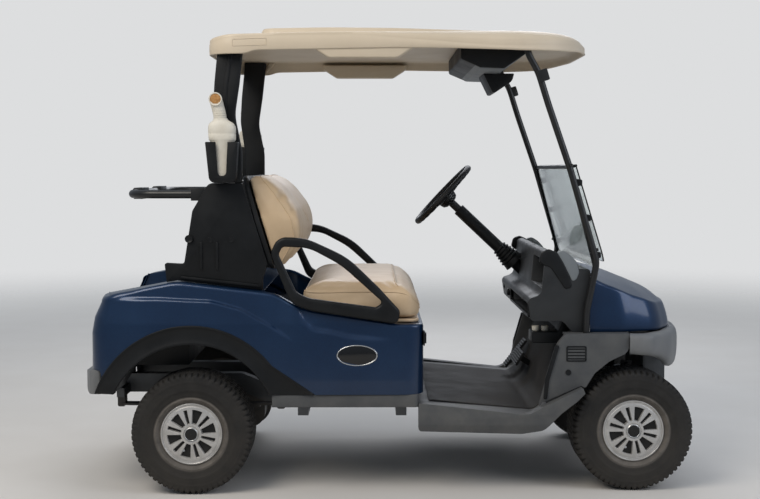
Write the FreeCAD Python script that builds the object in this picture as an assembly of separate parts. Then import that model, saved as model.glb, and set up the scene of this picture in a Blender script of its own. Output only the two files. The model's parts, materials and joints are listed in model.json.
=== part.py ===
"""Two-seat golf cart with a moulded roof, in millimetres.

+X is forward, +Y is the driver's side (left), +Z is up. The origin lies on the ground, under the
middle of the cart's length and width. Outlines of the rear half are given from the rear axle and
outlines of the front half from the front axle, so each half keeps its form when the wheelbase changes.
"""
import FreeCAD, Part
import math
import os

V = FreeCAD.Vector

# Overall layout
wheelbase = 1664.0
rear_overhang = 418.0
front_overhang = 242.0
half_width = 600.0
front_half_track = half_width - 162.0
rear_half_track = half_width - 111.0
rear_axle_x = rear_overhang - (rear_overhang + wheelbase + front_overhang) / 2
front_axle_x = rear_axle_x + wheelbase

# Tyres and wheels
tyre_radius = 228.5
tyre_half_width = 103.0
tread_half_width = 86.0
bead_radius = 101.9
rim_radius = 101.6
rim_flange_radius = 115.5
rim_half_width = 86.0
rim_wall = 4.0
hub_radius = 30.0
axle_radius = 14.0
running_gap = 0.05
seat_gap = 0.3
cap_slot_pairs = 6

# Steering
king_pin_y = front_half_track - 138.0
king_pin_radius = 8.0
barrel_radius = 17.0
barrel_half_height = 52.0
steer_arm_length = 110.0
steer_arm_inward = 12.0
rack_z = 205.0
rack_radius = 11.0
rack_bar_half = king_pin_y - 62.0
tie_rod_radius = 7.0
rack_housing_radius = 19.0
rack_housing_half_length = 175.0
wheel_centre = (-678.0, half_width - 320.0, 1106.0)
column_tilt = 46.7
steering_wheel_radius = 172.0
steering_rim_radius = 13.0
steering_shaft_radius = 10.0
column_radius = 26.0
column_length = 560.0

dash_half_width = half_width - 116.0
fender_y = half_width - 84.0
fender_top = 597.7

# Frame
rail_y = 150.0
rail_width = 50.0
rail_height = 75.0
floor_wall = 6.0
floor_rear_z = 335.0
floor_front_z = 298.0
floor_half_width = half_width - 60.0
pod_front = 869.0
pod_bottom_z = floor_rear_z + 43.0
panel_wall = 4.0
battery_size = (430.0, 2 * half_width - 400.0, 265.0)
battery_rear = 395.0
tray_wall = 5.0
pod_bearer_y = half_width - 70.0
rear_kick = 62.0
front_rail_top = 372.0
toe_board_top = 596.0
spring_y = 262.0
spring_eye_top = 293.0
hitch_spacing_y = 150.0
hitch_spacing_z = 30.0
hitch_z = 343.0
hitch_hole_radius = 5.5
motor_radius = 80.0
gear_case_half = 62.0
motor_place = (165.0, 216.0)

# Rear body, from the rear axle: (forward, height) and (forward, height, corner radius)
deck_rear = (-60.0, 797.0)
deck_front = (314.0, 754.0)
armrest_seat = [(372.0, 720.0, 60.0), (440.0, 692.0, 200.0), (772.0, 640.0, 60.0)]
bumper_top_z = 463.0
pod_top_z = 640.0
arch_trim_radius = 408.0
arch_open_radius = 336.0
seat_well_rear = 265.0
seat_well_half_width = half_width - 66.0
bag_half_width = half_width - 180.0
bag_well_front = -30.0

# Seat, from the rear axle
seat_hinge = (400.0, 646.0)
seat_half_width = half_width - 72.0
seat_pan_height = 12.0
seat_back_half_width = half_width - 108.0
back_low = (304.0, 850.0)
back_high = (200.0, 1186.0)
back_shell = 20.0
side_panel_y = half_width - 122.0
side_panel_width = 24.0
side_panel_top = 1165.0
armrest_y = half_width - 40.0
armrest_width = 34.0

rack_bar_radius = 16.0
holder_floor = side_panel_top + 1.0
holder_wall = 3.0

# Roof
roof_rear = 60.0
roof_front = 114.0
roof_half_width = half_width - 48.0
roof_wall = 5.0
roof_height = 1746.0
ceiling_z = roof_height - 46.0
lip_z = roof_height - 94.0
front_strut_y = half_width - 100.0
front_strut_radius = 12.7
far = 3000.0


def at_rear(corners):
    """Side outline given from the rear axle, moved to its place."""
    return [(u + rear_axle_x, v, r) for u, v, r in corners]


def at_front(corners):
    """Side outline given from the front axle, moved to its place."""
    return [(u + front_axle_x, v, r) for u, v, r in corners]


def rounded_edges(points, closed):
    """Straight runs joined by tangent arcs; each point is (position, bend radius)."""
    count = len(points)
    stops = []
    for i, (corner, radius) in enumerate(points):
        inner = closed or 0 < i < count - 1
        if not inner or radius <= 0:
            stops.append((corner, None, corner))
            continue
        back = points[i - 1][0] - corner
        ahead = points[(i + 1) % count][0] - corner
        half = back.getAngle(ahead) / 2
        if half > math.radians(89.9):
            stops.append((corner, None, corner))
            continue
        setback = min(radius / math.tan(half), 0.49 * min(back.Length, ahead.Length))
        bend = setback * math.tan(half)
        back.normalize()
        ahead.normalize()
        middle = back + ahead
        middle.normalize()
        crown = corner + middle * (bend / math.sin(half) - bend)
        stops.append((corner + back * setback, crown, corner + ahead * setback))
    edges = []
    for i, (start, crown, end) in enumerate(stops):
        if crown is not None:
            edges.append(Part.Arc(start, crown, end).toShape())
        if i == count - 1 and not closed:
            break
        following = stops[(i + 1) % count][0]
        if end.distanceToPoint(following) > 1e-6:
            edges.append(Part.LineSegment(end, following).toShape())
    return edges


def outline_face(corners, plane, depth):
    """Flat face in the plane XZ, YZ or XY; corners are (u, v, corner radius)."""
    lay = {"XZ": lambda u, v: V(u, depth, v), "YZ": lambda u, v: V(depth, u, v),
           "XY": lambda u, v: V(u, v, depth)}[plane]
    edges = rounded_edges([(lay(u, v), r) for u, v, r in corners], True)
    return Part.Face(Part.Wire(edges))


def prism(corners, plane, low, high):
    """Solid between two depths along the plane's normal."""
    along = {"XZ": V(0, high - low, 0), "YZ": V(high - low, 0, 0), "XY": V(0, 0, high - low)}[plane]
    return outline_face(corners, plane, low).extrude(along)


def inset(corners, wall):
    """The same outline with every side moved inwards by the wall."""
    count = len(corners)
    area = sum(corners[i - 1][0] * corners[i][1] - corners[i][0] * corners[i - 1][1] for i in range(count))
    turn = 1.0 if area > 0 else -1.0
    moved = []
    for i in range(count):
        (u0, v0, _), (u1, v1, radius), (u2, v2, _) = corners[i - 1], corners[i], corners[(i + 1) % count]
        a = math.hypot(u1 - u0, v1 - v0)
        b = math.hypot(u2 - u1, v2 - v1)
        n0 = (-(v1 - v0) / a * turn, (u1 - u0) / a * turn)
        n1 = (-(v2 - v1) / b * turn, (u2 - u1) / b * turn)
        share = 1 + n0[0] * n1[0] + n0[1] * n1[1]
        bulge = (u1 - u0) * (v2 - v1) - (v1 - v0) * (u2 - u1)
        kept = radius - wall if bulge * turn > 0 else radius + wall
        kept = max(kept, 0.0) if radius > 0 else 0.0
        moved.append((u1 + (n0[0] + n1[0]) / share * wall, v1 + (n0[1] + n1[1]) / share * wall, kept))
    return moved


def both_halves(half, mirror_v):
    """Close a half outline with its mirror image."""
    if mirror_v:
        other = [(u, -v, r) for u, v, r in reversed(half)]
    else:
        other = [(-u, v, r) for u, v, r in reversed(half)]
    return half + other


def three_view(side, section, plan):
    """Solid that shows these outlines from the side, from the front and from above."""
    body = prism(side, "XZ", -far, far)
    if section:
        body = body.common(prism(section, "YZ", -far, far))
    if plan:
        body = body.common(prism(plan, "XY", -far, far))
    return body


def three_view_shell(side, section, plan, wall, shift=V(0, 0, 0)):
    """Three-view solid with walls of one thickness; shift moves the hollow to open one face."""
    inner = three_view(inset(side, wall), inset(section, wall) if section else None,
                       inset(plan, wall) if plan else None)
    hollow = inner
    if shift.Length > 0:
        moved = inner.copy()
        moved.translate(shift)
        hollow = inner.fuse(moved)
    return three_view(side, section, plan).cut(hollow)


def box(low, high):
    """Box between two corners."""
    return Part.makeBox(high[0] - low[0], high[1] - low[1], high[2] - low[2], V(*low))


def cylinder(radius, start, end):
    """Round bar between two points."""
    along = V(*end) - V(*start)
    return Part.makeCylinder(radius, along.Length, V(*start), along)


def tube(points, radius):
    """Round bar along a bent path; each point is (x, y, z, bend radius)."""
    edges = rounded_edges([(V(x, y, z), r) for x, y, z, r in points], False)
    path = Part.Wire(edges)
    first = edges[0]
    start = first.Vertexes[0].Point
    heading = V(*points[1][:3]) - V(*points[0][:3])
    ring = Part.Wire(Part.makeCircle(radius, start, heading))
    return path.makePipeShell([ring], True, True)


def turned(profile, centre):
    """Ring turned about the Y axis through centre; profile corners are (y, radius, corner radius)."""
    face = outline_face(profile, "YZ", 0)
    ring = face.revolve(V(0, 0, 0), V(0, 1, 0), 360)
    ring.translate(V(*centre))
    return ring


def mirrored(shape):
    """The same piece on the other side of the cart."""
    return shape.mirror(V(0, 0, 0), V(0, 1, 0))


def pair(shape):
    """A piece and its mirror image, as two solids that don't touch."""
    return Part.makeCompound([shape, mirrored(shape)])


def fused(shapes):
    """One solid of several that touch."""
    return shapes[0].multiFuse(shapes[1:]).removeSplitter()


def softened(shape, radius, chosen):
    """Round the chosen edges."""
    return shape.makeFillet(radius, [edge for edge in shape.Edges if chosen(edge)])


def lies_along(edge, axis):
    """Whether a straight edge runs along one axis."""
    if edge.Curve.TypeId != "Part::GeomLine":
        return False
    return abs(edge.tangentAt(edge.FirstParameter).dot(axis)) > 0.999


# Running gear

def tyre(centre):
    """Balloon tyre: flat tread, round shoulders, bulging sidewalls, narrow bead."""
    # columns: across, radius, corner radius
    half = [(rim_half_width - seat_gap, bead_radius, 4.0),
            (rim_half_width - seat_gap, rim_flange_radius + 6, 4.0),
            (tyre_half_width - 6, rim_flange_radius + 14, 20.0),
            (tyre_half_width, rim_flange_radius + 56, 60.0),
            (tread_half_width + 9, tyre_radius - 5, 16.0),
            (tread_half_width - 22, tyre_radius, 60.0)]
    return turned(both_halves(half, False), centre)


def wheel(centre, shaft_hole, shaft_to):
    """Steel rim with a drop centre, its disc and hub, and the slotted cap over them."""
    lip = rim_half_width
    rim = [(-lip - 4, rim_flange_radius, 2), (-lip, rim_flange_radius, 0), (-lip, rim_radius, 3),
           (-44, rim_radius - 4, 6), (-34, rim_radius - 20, 6), (10, rim_radius - 20, 6),
           (22, rim_radius - 4, 6), (lip, rim_radius, 3), (lip, rim_flange_radius, 0),
           (lip + 4, rim_flange_radius, 2), (lip + 4, rim_radius - rim_wall, 3),
           (24, rim_radius - 4 - rim_wall, 6), (12, rim_radius - 20 - rim_wall, 6),
           (-36, rim_radius - 20 - rim_wall, 6), (-46, rim_radius - 4 - rim_wall, 6),
           (-lip - 4, rim_radius - rim_wall, 3)]
    disc = [(-36, shaft_hole, 0), (34, shaft_hole, 0), (34, hub_radius, 4), (6, hub_radius + 6, 6),
            (6, rim_radius - 19, 0), (-2, rim_radius - 19, 0), (-2, hub_radius + 4, 6), (-36, hub_radius, 4)]
    # cap columns: across, radius, corner radius
    cap = [(lip - 10, rim_radius - 3, 0), (lip - 2, rim_radius - 3, 3), (lip + 2, rim_radius - 14, 6),
           (lip - 6, rim_radius - 22, 4), (lip + 8, 34, 8), (lip + 8, 27, 2), (lip + 12, 25, 3),
           (lip + 12, 0.0, 0), (34.2, 0.0, 0), (34.2, 24, 0), (lip + 4, 24, 0), (lip + 4, 32, 6),
           (lip - 10, rim_radius - 22, 4)]
    hollow_cap = turned(cap, (0, 0, 0))
    slot_inner = 38.0
    slot_outer = rim_radius - 26
    pitch = 360.0 / cap_slot_pairs
    # columns: middle angle in the pair, half angle
    slots = [(-0.25 * pitch, 10.5), (0.25 * pitch, 6.5)]
    for step in range(cap_slot_pairs):
        for middle, half_angle in slots:
            a = math.radians(half_angle)
            hole = prism([(-slot_inner * math.sin(a) * 0.8, slot_inner, 3),
                          (slot_inner * math.sin(a) * 0.8, slot_inner, 3),
                          (slot_outer * math.sin(a), slot_outer, 5),
                          (-slot_outer * math.sin(a), slot_outer, 5)], "XZ", lip - 30, lip + 30)
            hole.rotate(V(0, 0, 0), V(0, 1, 0), step * pitch + middle)
            hollow_cap = hollow_cap.cut(hole)
    parts = [turned(rim, (0, 0, 0)), turned(disc, (0, 0, 0)), hollow_cap]
    if shaft_to is not None:
        parts.append(cylinder(axle_radius, (0, shaft_to, 0), (0, 34.2, 0)))
    whole = fused(parts)
    whole.translate(V(*centre))
    return whole


def floor_line():
    """Upper side of the floor and toe board, seen from the side."""
    return at_rear([(pod_front - 30, floor_rear_z, 0)]) + at_front(
        [(-372, floor_front_z, 40), (-325, floor_front_z + 40, 60), (-225, toe_board_top, 0)])


def floor_underside():
    """Underside of the flat floor, where the rails carry it."""
    return (at_rear([(pod_front - 30, floor_rear_z - floor_wall, 0)])
            + at_front([(-372, floor_front_z - floor_wall, 60)]))


def frame():
    """Two box rails that kick up over both axles, cross members, battery tray and hitch plate."""
    top_rear = floor_rear_z - floor_wall
    kick_z = top_rear + rear_kick
    upper = (at_rear([(-335, kick_z, 10), (150, kick_z, 40), (300, top_rear, 40)]) + floor_underside()
             + at_front([(-270, floor_front_z - floor_wall, 60), (-160, front_rail_top, 60), (118, front_rail_top, 0)]))
    lower = [(u, v - rail_height, r) for u, v, r in reversed(upper)]
    rail = prism(upper + lower, "XZ", rail_y - rail_width / 2, rail_y + rail_width / 2)
    outer_y = rail_y + rail_width / 2
    tray_rear = rear_axle_x + battery_rear - 8
    tray = box((tray_rear, -battery_size[1] / 2 - 8, top_rear),
               (tray_rear + battery_size[0] + 16, battery_size[1] / 2 + 8, top_rear + tray_wall))
    bearers = [box((rear_axle_x + x, -reach, top_rear - 40), (rear_axle_x + x + 40, reach, top_rear))
               for x, reach in ((battery_rear, pod_bearer_y), (battery_rear + battery_size[0] - 60, pod_bearer_y))]
    hangers = [box((rear_axle_x + x, -spring_y - 34, z), (rear_axle_x + x + 30, spring_y + 34, z + 36))
               for x, z in ((300.0, spring_eye_top), (-335.0, kick_z - rail_height))]
    hitch = box((rear_axle_x - 343, -110, kick_z - rail_height), (rear_axle_x - 335, 110, kick_z))
    for y in (-hitch_spacing_y / 2, hitch_spacing_y / 2):
        for z in (-hitch_spacing_z / 2, hitch_spacing_z / 2):
            hitch = hitch.cut(cylinder(hitch_hole_radius, (rear_axle_x - 350, y, hitch_z + z),
                                       (rear_axle_x - 330, y, hitch_z + z)))
    nose = box((front_axle_x + 110, -outer_y, front_rail_top - rail_height), (front_axle_x + 118, outer_y, 520))
    post = box((front_axle_x + 112, -60, 330), (front_axle_x + 225, 60, 510))
    whole = fused([rail, mirrored(rail), tray] + bearers + hangers + [hitch, nose, post])
    return largest(whole.cut(front_bumper()))


def front_suspension():
    """Lower arms, transverse spring, king pins and dampers, on a cross member under the rails."""
    top = front_rail_top - rail_height
    low_z = tyre_radius - barrel_half_height - seat_gap
    high_z = tyre_radius + barrel_half_height + seat_gap
    x = front_axle_x
    outer = rail_y + rail_width / 2
    member = prism([(-80, low_z - 12, 10), (80, low_z - 12, 10), (80, 215, 0), (44, top, 0), (-44, top, 0),
                    (-80, 215, 0)], "XZ", -outer, outer)
    member.translate(V(x, 0, 0))
    # arm columns: forward, across, corner radius
    arm = [(-62, 100, 6), (62, 100, 6), (18, king_pin_y + 16, 14), (-18, king_pin_y + 16, 14)]
    lower = prism(arm, "XY", low_z - 12, low_z)
    lower.translate(V(x, 0, 0))
    upper = prism([(-24, 100, 0), (24, 100, 0), (18, king_pin_y + 16, 14), (-18, king_pin_y + 16, 14)],
                  "XY", high_z, high_z + 10)
    upper.translate(V(x, 0, 0))
    pin = cylinder(king_pin_radius, (x, king_pin_y, low_z - 10), (x, king_pin_y, high_z + 8))
    damper = cylinder(20, (x + 34, king_pin_y - 62, low_z - 4), (x + 40, outer + 26, 395))
    eye = cylinder(11, (x + 40, outer + 26, 380), (x + 42, outer + 20, 432))
    tower = box((x + 18, outer, top - 20), (x + 62, outer + 8, 445))
    knob = cylinder(9, (x + 42, outer, 428), (x + 42, outer + 34, 428))
    half = [lower, upper, pin, damper, eye, tower, knob]
    return fused([member] + half + [mirrored(piece) for piece in half])


def knuckle():
    """Barrel on the king pin, stub axle out to the wheel and steering arm back to the rod."""
    x = front_axle_x
    barrel = cylinder(barrel_radius, (x, king_pin_y, tyre_radius - barrel_half_height),
                      (x, king_pin_y, tyre_radius + barrel_half_height))
    stub = cylinder(axle_radius, (x, king_pin_y, tyre_radius), (x, front_half_track + 30, tyre_radius))
    collar = cylinder(hub_radius - 6, (x, king_pin_y, tyre_radius), (x, front_half_track - 40, tyre_radius))
    arm_low = rack_z + 8 + seat_gap
    arm = prism([(0, king_pin_y - 12, 0), (14, king_pin_y + 12, 0), (-20, king_pin_y + 13, 10),
                 (-steer_arm_length + 2, king_pin_y - steer_arm_inward + 15, 12),
                 (-steer_arm_length - 14, king_pin_y - steer_arm_inward, 10),
                 (-steer_arm_length, king_pin_y - steer_arm_inward - 15, 12),
                 (-30, king_pin_y - 14, 10)], "XY", arm_low, arm_low + 12)
    arm.translate(V(x, 0, 0))
    solid = fused([barrel, collar, stub, arm])
    return solid.cut(cylinder(king_pin_radius + running_gap, (x, king_pin_y, 100), (x, king_pin_y, 400)))


def column_body():
    """Outside of the steering column, with the boot where it enters the dash."""
    hub = steering_hub()
    down = column_direction()
    column = cylinder(column_radius, tuple(hub + down * 95), tuple(hub + down * column_length))
    boot = Part.makeCone(column_radius + 2, column_radius + 22, 95, hub + down * 340, down)
    return column.fuse(boot)


def steering_column():
    """Column tube with its boot; the wheel's shaft turns in it."""
    hub = steering_hub()
    end = hub + column_direction() * far
    return column_body().cut(cylinder(steering_shaft_radius + running_gap, tuple(hub), tuple(end)))


def column_direction():
    """Unit vector from the steering wheel down its column."""
    tilt = math.radians(column_tilt)
    return V(math.sin(tilt), 0, -math.cos(tilt))


def steering_hub():
    """Centre of the steering wheel's rim."""
    return V(front_axle_x + wheel_centre[0], wheel_centre[1], wheel_centre[2])


def steering_wheel():
    """Rim, three spokes, pad and the shaft in its column."""
    hub = V(0, 0, 0)
    rim = Part.makeTorus(steering_wheel_radius - steering_rim_radius, steering_rim_radius)
    pad = Part.makeCone(34, 46, 40, V(0, 0, -45), V(0, 0, 1))
    pad = pad.makeFillet(8, [edge for edge in pad.Edges if edge.Curve.TypeId == "Part::GeomCircle"])
    shaft = cylinder(steering_shaft_radius, (0, 0, -450), (0, 0, -40))
    spokes = []
    reach = steering_wheel_radius - steering_rim_radius
    for angle in (90.0, 210.0, 330.0):
        lean = prism([(26, -24, 0), (reach, -5, 0), (reach, 5, 0), (26, -10, 0)], "YZ", -24, 24)
        spoke = lean.common(prism([(-22, 26, 0), (22, 26, 0), (13, reach, 0), (-13, reach, 0)], "XY", -40, 20))
        spoke.rotate(hub, V(0, 0, 1), angle - 90.0)
        spokes.append(spoke)
    whole = fused([rim, pad, shaft] + spokes)
    # local +Z points from the column up to the driver, local +Y points up the wheel
    up = column_direction() * -1
    whole.rotate(hub, V(0, 0, 1), -90)
    whole.rotate(hub, V(0, 1, 0), -column_tilt)
    whole.translate(steering_hub())
    return whole


def steering_rack():
    """Rack bar with its two tie rods and their eyes under the steering arms."""
    x = front_axle_x - steer_arm_length
    eye_y = king_pin_y - steer_arm_inward
    bar = cylinder(rack_radius, (x, -rack_bar_half, rack_z), (x, rack_bar_half, rack_z))
    rods = cylinder(tie_rod_radius, (x, -eye_y, rack_z), (x, eye_y, rack_z))
    eyes = [prism([(x - 15, s * eye_y - 15, 14), (x + 15, s * eye_y - 15, 14),
                   (x + 15, s * eye_y + 15, 14), (x - 15, s * eye_y + 15, 14)], "XY", rack_z - 8, rack_z + 8)
            for s in (-1, 1)]
    return fused([bar, rods] + eyes)


def rack_housing():
    """Tube that the rack slides in, hung under the rails by two lugs."""
    x = front_axle_x - steer_arm_length
    half = rack_housing_half_length
    barrel = cylinder(rack_housing_radius, (x, -half, rack_z), (x, half, rack_z))
    under_rail = front_rail_top - rail_height
    lugs = [box((x - 14, s * rail_y - 15, rack_z), (x + 14, s * rail_y + 15, under_rail)) for s in (-1, 1)]
    pinion = cylinder(24, (x, 90, rack_z - 10), (x, 90, rack_z + 50))
    housing = fused([barrel, pinion] + lugs)
    return housing.cut(cylinder(rack_radius + running_gap, (x, -far, rack_z), (x, far, rack_z)))


def rear_axle():
    """Axle tube with brake drums, gear case in the middle and the case's arm to the motor."""
    x = rear_axle_x
    z = tyre_radius
    inner_face = rear_half_track - tyre_half_width
    housing = cylinder(34, (x, -inner_face + 30, z), (x, inner_face - 30, z))
    drums = [cylinder(78, (x, s * (inner_face - 30), z), (x, s * (inner_face + 62), z)) for s in (-1, 1)]
    case = prism([(-92, -92, 60), (100, -92, 60), (230, -70, 60), (230, 86, 60), (-92, 92, 60)], "XZ",
                 -gear_case_half, gear_case_half)
    case.translate(V(x, 0, z))
    whole = fused([housing] + drums + [case])
    for s in (-1, 1):
        whole = whole.cut(cylinder(axle_radius + running_gap, (x, s * (inner_face - 60), z), (x, s * far, z)))
    return whole


def rear_springs():
    """Leaf springs over the axle tube with their plates and the dampers behind them."""
    x = rear_axle_x
    top_rear = floor_rear_z - floor_wall
    seat = tyre_radius + 34
    leaves = []
    # columns: leaf number, half length
    for number, reach in ((0, 318), (1, 230), (2, 150)):
        low = seat + 16 - number * 8
        leaf = prism([(-reach, low + 4, 0), (0, low, 900), (reach, low + 4, 0), (reach, low + 12, 0),
                      (0, low + 8, 900), (-reach, low + 12, 0)], "XZ", spring_y - 25, spring_y + 25)
        leaves.append(leaf)
    plate = box((-50, spring_y - 30, seat), (50, spring_y + 30, seat + 32))
    front_eye = prism([(298, seat + 4, 8), (330, seat + 4, 8), (330, spring_eye_top, 0), (298, spring_eye_top, 0)],
                      "XZ", spring_y - 22, spring_y + 22)
    rear_eye = prism([(-334, seat + 14, 8), (-304, seat + 14, 8), (-304, top_rear - 13, 0), (-334, top_rear - 13, 0)],
                     "XZ", spring_y - 22, spring_y + 22)
    spring = fused(leaves + [plate, front_eye, rear_eye])
    spring.translate(V(x, 0, 0))
    return pair(spring)


def motor():
    """Electric motor: one plain round block beside the gear case's arm."""
    x = rear_axle_x + motor_place[0]
    return cylinder(motor_radius, (x, gear_case_half, motor_place[1]), (x, gear_case_half + 163, motor_place[1]))


def batteries():
    """The set of batteries under the seat, as one plain block."""
    x = rear_axle_x + battery_rear
    z = floor_rear_z - floor_wall + tray_wall
    return box((x, -battery_size[1] / 2, z), (x + battery_size[0], battery_size[1] / 2, z + battery_size[2]))


# Lower body

def floor_pan():
    """Floor sheet with its toe board, and the rockers along both sides."""
    upper = floor_line()
    ramp = [(u + floor_wall, v, r) for u, v, r in upper[2:]]
    lower = floor_underside() + [(ramp[0][0], ramp[0][1] - floor_wall, 60), ramp[1]]
    sheet = prism(upper + lower[::-1], "XZ", -floor_half_width, floor_half_width)
    toe_half = floor_half_width - 70
    keep = prism(at_rear([(pod_front - 30, floor_half_width, 0)])
                 + at_front([(-330, floor_half_width, 0), (-330, toe_half, 30), (-200, toe_half, 0),
                             (-200, -toe_half, 0), (-330, -toe_half, 30), (-330, -floor_half_width, 0)])
                 + at_rear([(pod_front - 30, -floor_half_width, 0)]), "XY", 0, 1000)
    sheet = sheet.common(keep)
    rocker_corners = at_rear([(pod_front - 20, 238, 12)]) + at_front(
        [(-430, 227, 60), (-345, 240, 50), (-280, 305, 30), (-222, 349, 20), (-192, 379, 4), (-200, 400, 4),
         (-345, 330, 60), (-404, 300, 60)]) + at_rear([(pod_front + 4, 342, 8), (pod_front - 20, 342, 0)])
    rocker = prism(rocker_corners, "XZ", floor_half_width, half_width - 14)
    shade = prism([(floor_half_width - 1, 200, 0), (half_width - 30, 200, 0), (half_width - 14, 262, 40),
                   (half_width - 20, 420, 30), (floor_half_width - 1, 420, 0)], "YZ", -far, far)
    rocker = rocker.common(shade)
    return fused([sheet, rocker, mirrored(rocker)])


def rear_body_outlines():
    """Side, section and plan outlines of the painted rear body."""
    side = at_rear([(-342, pod_bottom_z, 0), (-342, bumper_top_z + seat_gap, 0), (-396, bumper_top_z + seat_gap, 10),
                    (-404, 600, 60), (-352, 742, 90), (deck_rear[0], deck_rear[1], 200),
                    (deck_front[0], deck_front[1], 120), armrest_seat[0], armrest_seat[1], armrest_seat[2],
                    (pod_front, pod_top_z, 22), (pod_front, pod_bottom_z, 16)])
    section = both_halves([(half_width - 20, 0, 0), (half_width - 4, 430, 60), (half_width - 14, 640, 200),
                           (half_width - 40, 790, 60), (half_width - 110, 860, 60)], False)
    plan = both_halves(at_rear([(pod_front, half_width - 6, 74), (300, half_width, 900),
                                (-200, half_width, 300), (-375, half_width - 40, 110),
                                (-404, half_width - 220, 100)]), True)
    return side, section, plan


def deck_height(x):
    """Height of the rear body's top behind the seat, at x from the rear axle."""
    slope = (deck_front[1] - deck_rear[1]) / (deck_front[0] - deck_rear[0])
    return deck_rear[1] + (x - deck_rear[0]) * slope


def arch_outline(radius, low_z):
    """Wheel arch about the rear axle, seen from the side, down to a level."""
    corners = []
    for angle in range(200, -21, -20):
        a = math.radians(angle)
        corners.append((radius * 0.96 * math.cos(a), tyre_radius + radius * math.sin(a), 90))
    corners = [(u, v, r) for u, v, r in corners if v > low_z]
    left, right = corners[0][0], corners[-1][0]
    return at_rear([(left - 10, low_z - 300, 0)] + corners + [(right + 10, low_z - 300, 0)])


def arch_cut(grow):
    """Space that an arch and its trim take in the body's side; grow widens it all round."""
    arch = prism(arch_outline(arch_trim_radius + grow, pod_bottom_z), "XZ", rail_y + 60, far)
    tail = prism(at_rear([(300, 0, 0), (300, 480, 0), (356, 452 + grow, 40), (456 + grow, 384 + grow, 6),
                          (456 + grow, 0, 0)]), "XZ", rail_y + 60, far)
    return arch.fuse(tail)


def rear_body():
    """Painted shell round the batteries: open below, above the batteries and at the bag well."""
    side, section, plan = rear_body_outlines()
    shell = three_view_shell(side, section, plan, panel_wall, V(0, 0, -120))
    shell = shell.cut(arch_cut(0)).cut(mirrored(arch_cut(0)))
    seat_hole = box((rear_axle_x + seat_well_rear, -seat_well_half_width, 450),
                    (rear_axle_x + pod_front - 45, seat_well_half_width, 900))
    well = box((rear_axle_x - 500, -bag_half_width, 300), (rear_axle_x + bag_well_front, bag_half_width, 900))
    return largest(shell.cut(seat_hole).cut(well))


def largest(shape):
    """The biggest solid of a cut piece."""
    return max(shape.Solids, key=lambda solid: solid.Volume)


def arch_trims():
    """Moulded rim round each rear wheel arch, with its tail along the sill."""
    side, section, plan = rear_body_outlines()
    hull = prism(section, "YZ", -far, far).common(prism(plan, "XY", -far, far))
    band = hull.common(box((rear_axle_x - 450, half_width - 44, pod_bottom_z), (far, far, far)))
    opening = prism(arch_outline(arch_open_radius, pod_bottom_z), "XZ", 0, far)
    return pair(largest(band.common(arch_cut(-seat_gap)).cut(opening)))


def sills():
    """Dark lower strip under the rear body, from the arch to the front of the seat pod."""
    front = pod_front - 20 - seat_gap
    strip = prism(at_rear([(300, 330, 10), (front, 330, 10), (front, pod_bottom_z, 0), (290, pod_bottom_z, 0)]),
                  "XZ", half_width - 60, half_width - 12)
    return pair(softened(strip, 6, lambda edge: lies_along(edge, V(1, 0, 0)) and edge.CenterOfMass.y > half_width - 20
                         and edge.CenterOfMass.z < 340))


def bag_well():
    """Moulded tray for the bags behind the seat, open to the rear."""
    floor_z = 470.0
    outer = box((rear_axle_x - 398, -bag_half_width + seat_gap, floor_z - 6),
                (rear_axle_x + bag_well_front - seat_gap, bag_half_width - seat_gap, 760))
    inner = prism(at_rear([(-500, floor_z, 0), (-130, floor_z, 40), (-60, 800, 0), (-500, 800, 0)]), "XZ",
                  -bag_half_width + 8, bag_half_width - 8)
    slope = prism(at_rear([(-420, 560, 40), (-330, 620, 60), (-200, 700, 60), (-30, 762, 0), (-30, 900, 0),
                           (-420, 900, 0)]), "XZ", -far, far)
    return largest(outer.cut(inner).cut(slope))


def rear_bumper():
    """Moulded rear bumper under the bag well."""
    side = at_rear([(-416, 372, 14), (-418, bumper_top_z - 11, 14), (-380, bumper_top_z, 6),
                    (-343.3, bumper_top_z, 0), (-343.3, 372, 0)])
    plan = both_halves(at_rear([(-343.3, half_width - 60, 10), (-385, half_width - 60, 30),
                                (-418, half_width - 160, 60)]), True)
    return three_view(side, None, plan)


def front_cowl():
    """Painted bonnet between the windshield and the bumper band."""
    side, section, plan = cowl_outlines()
    shell = three_view_shell(side, section, plan, panel_wall, V(-40, 0, -60))
    return largest(shell)


def cowl_outlines():
    """Side, section and plan outlines of the bonnet."""
    side = at_front([(-160, 836, 0), (-60, 812, 200), (60, 762, 160), (150, 706, 120), (208, 650, 60),
                     (224, fender_top + seat_gap, 10), (-150, fender_top + seat_gap, 0)])
    section = both_halves([(dash_half_width + 2, 560, 0), (dash_half_width - 2, 640, 80),
                           (dash_half_width - 32, 772, 60), (250, 836, 400)], False)
    plan = both_halves(at_front([(-160, dash_half_width, 0), (-20, dash_half_width, 200),
                                 (128, dash_half_width - 64, 160), (200, 290, 160),
                                 (226, 150, 300)]), True)
    return side, section, plan


def front_bumper():
    """Dark bumper band round the nose, open behind for the steered wheels."""
    side = at_front([(-20, 597.7, 0), (232, 597.7, 10), (242, 540, 60), (238, 452, 30), (204, 426, 14),
                     (166, 462, 30), (126, 496, 50), (80, 514, 120), (-20, 520, 0)])
    plan = both_halves(at_front([(-20, half_width - 44, 0), (60, half_width - 52, 160),
                                 (160, half_width - 160, 140), (222, 280, 160),
                                 (242, 140, 200)]), True)
    hollow_side = at_front([(-60, 580, 0), (215, 580, 20), (228, 540, 50), (224, 458, 20), (202, 438, 10),
                            (160, 380, 0), (-60, 380, 0)])
    outer = three_view(side, None, plan)
    inner = three_view(hollow_side, None, inset(plan, 8))
    inner = inner.fuse(three_view(hollow_side, None, [(u - 60, v, r) for u, v, r in inset(plan, 8)]))
    return largest(outer.cut(inner))


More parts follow.
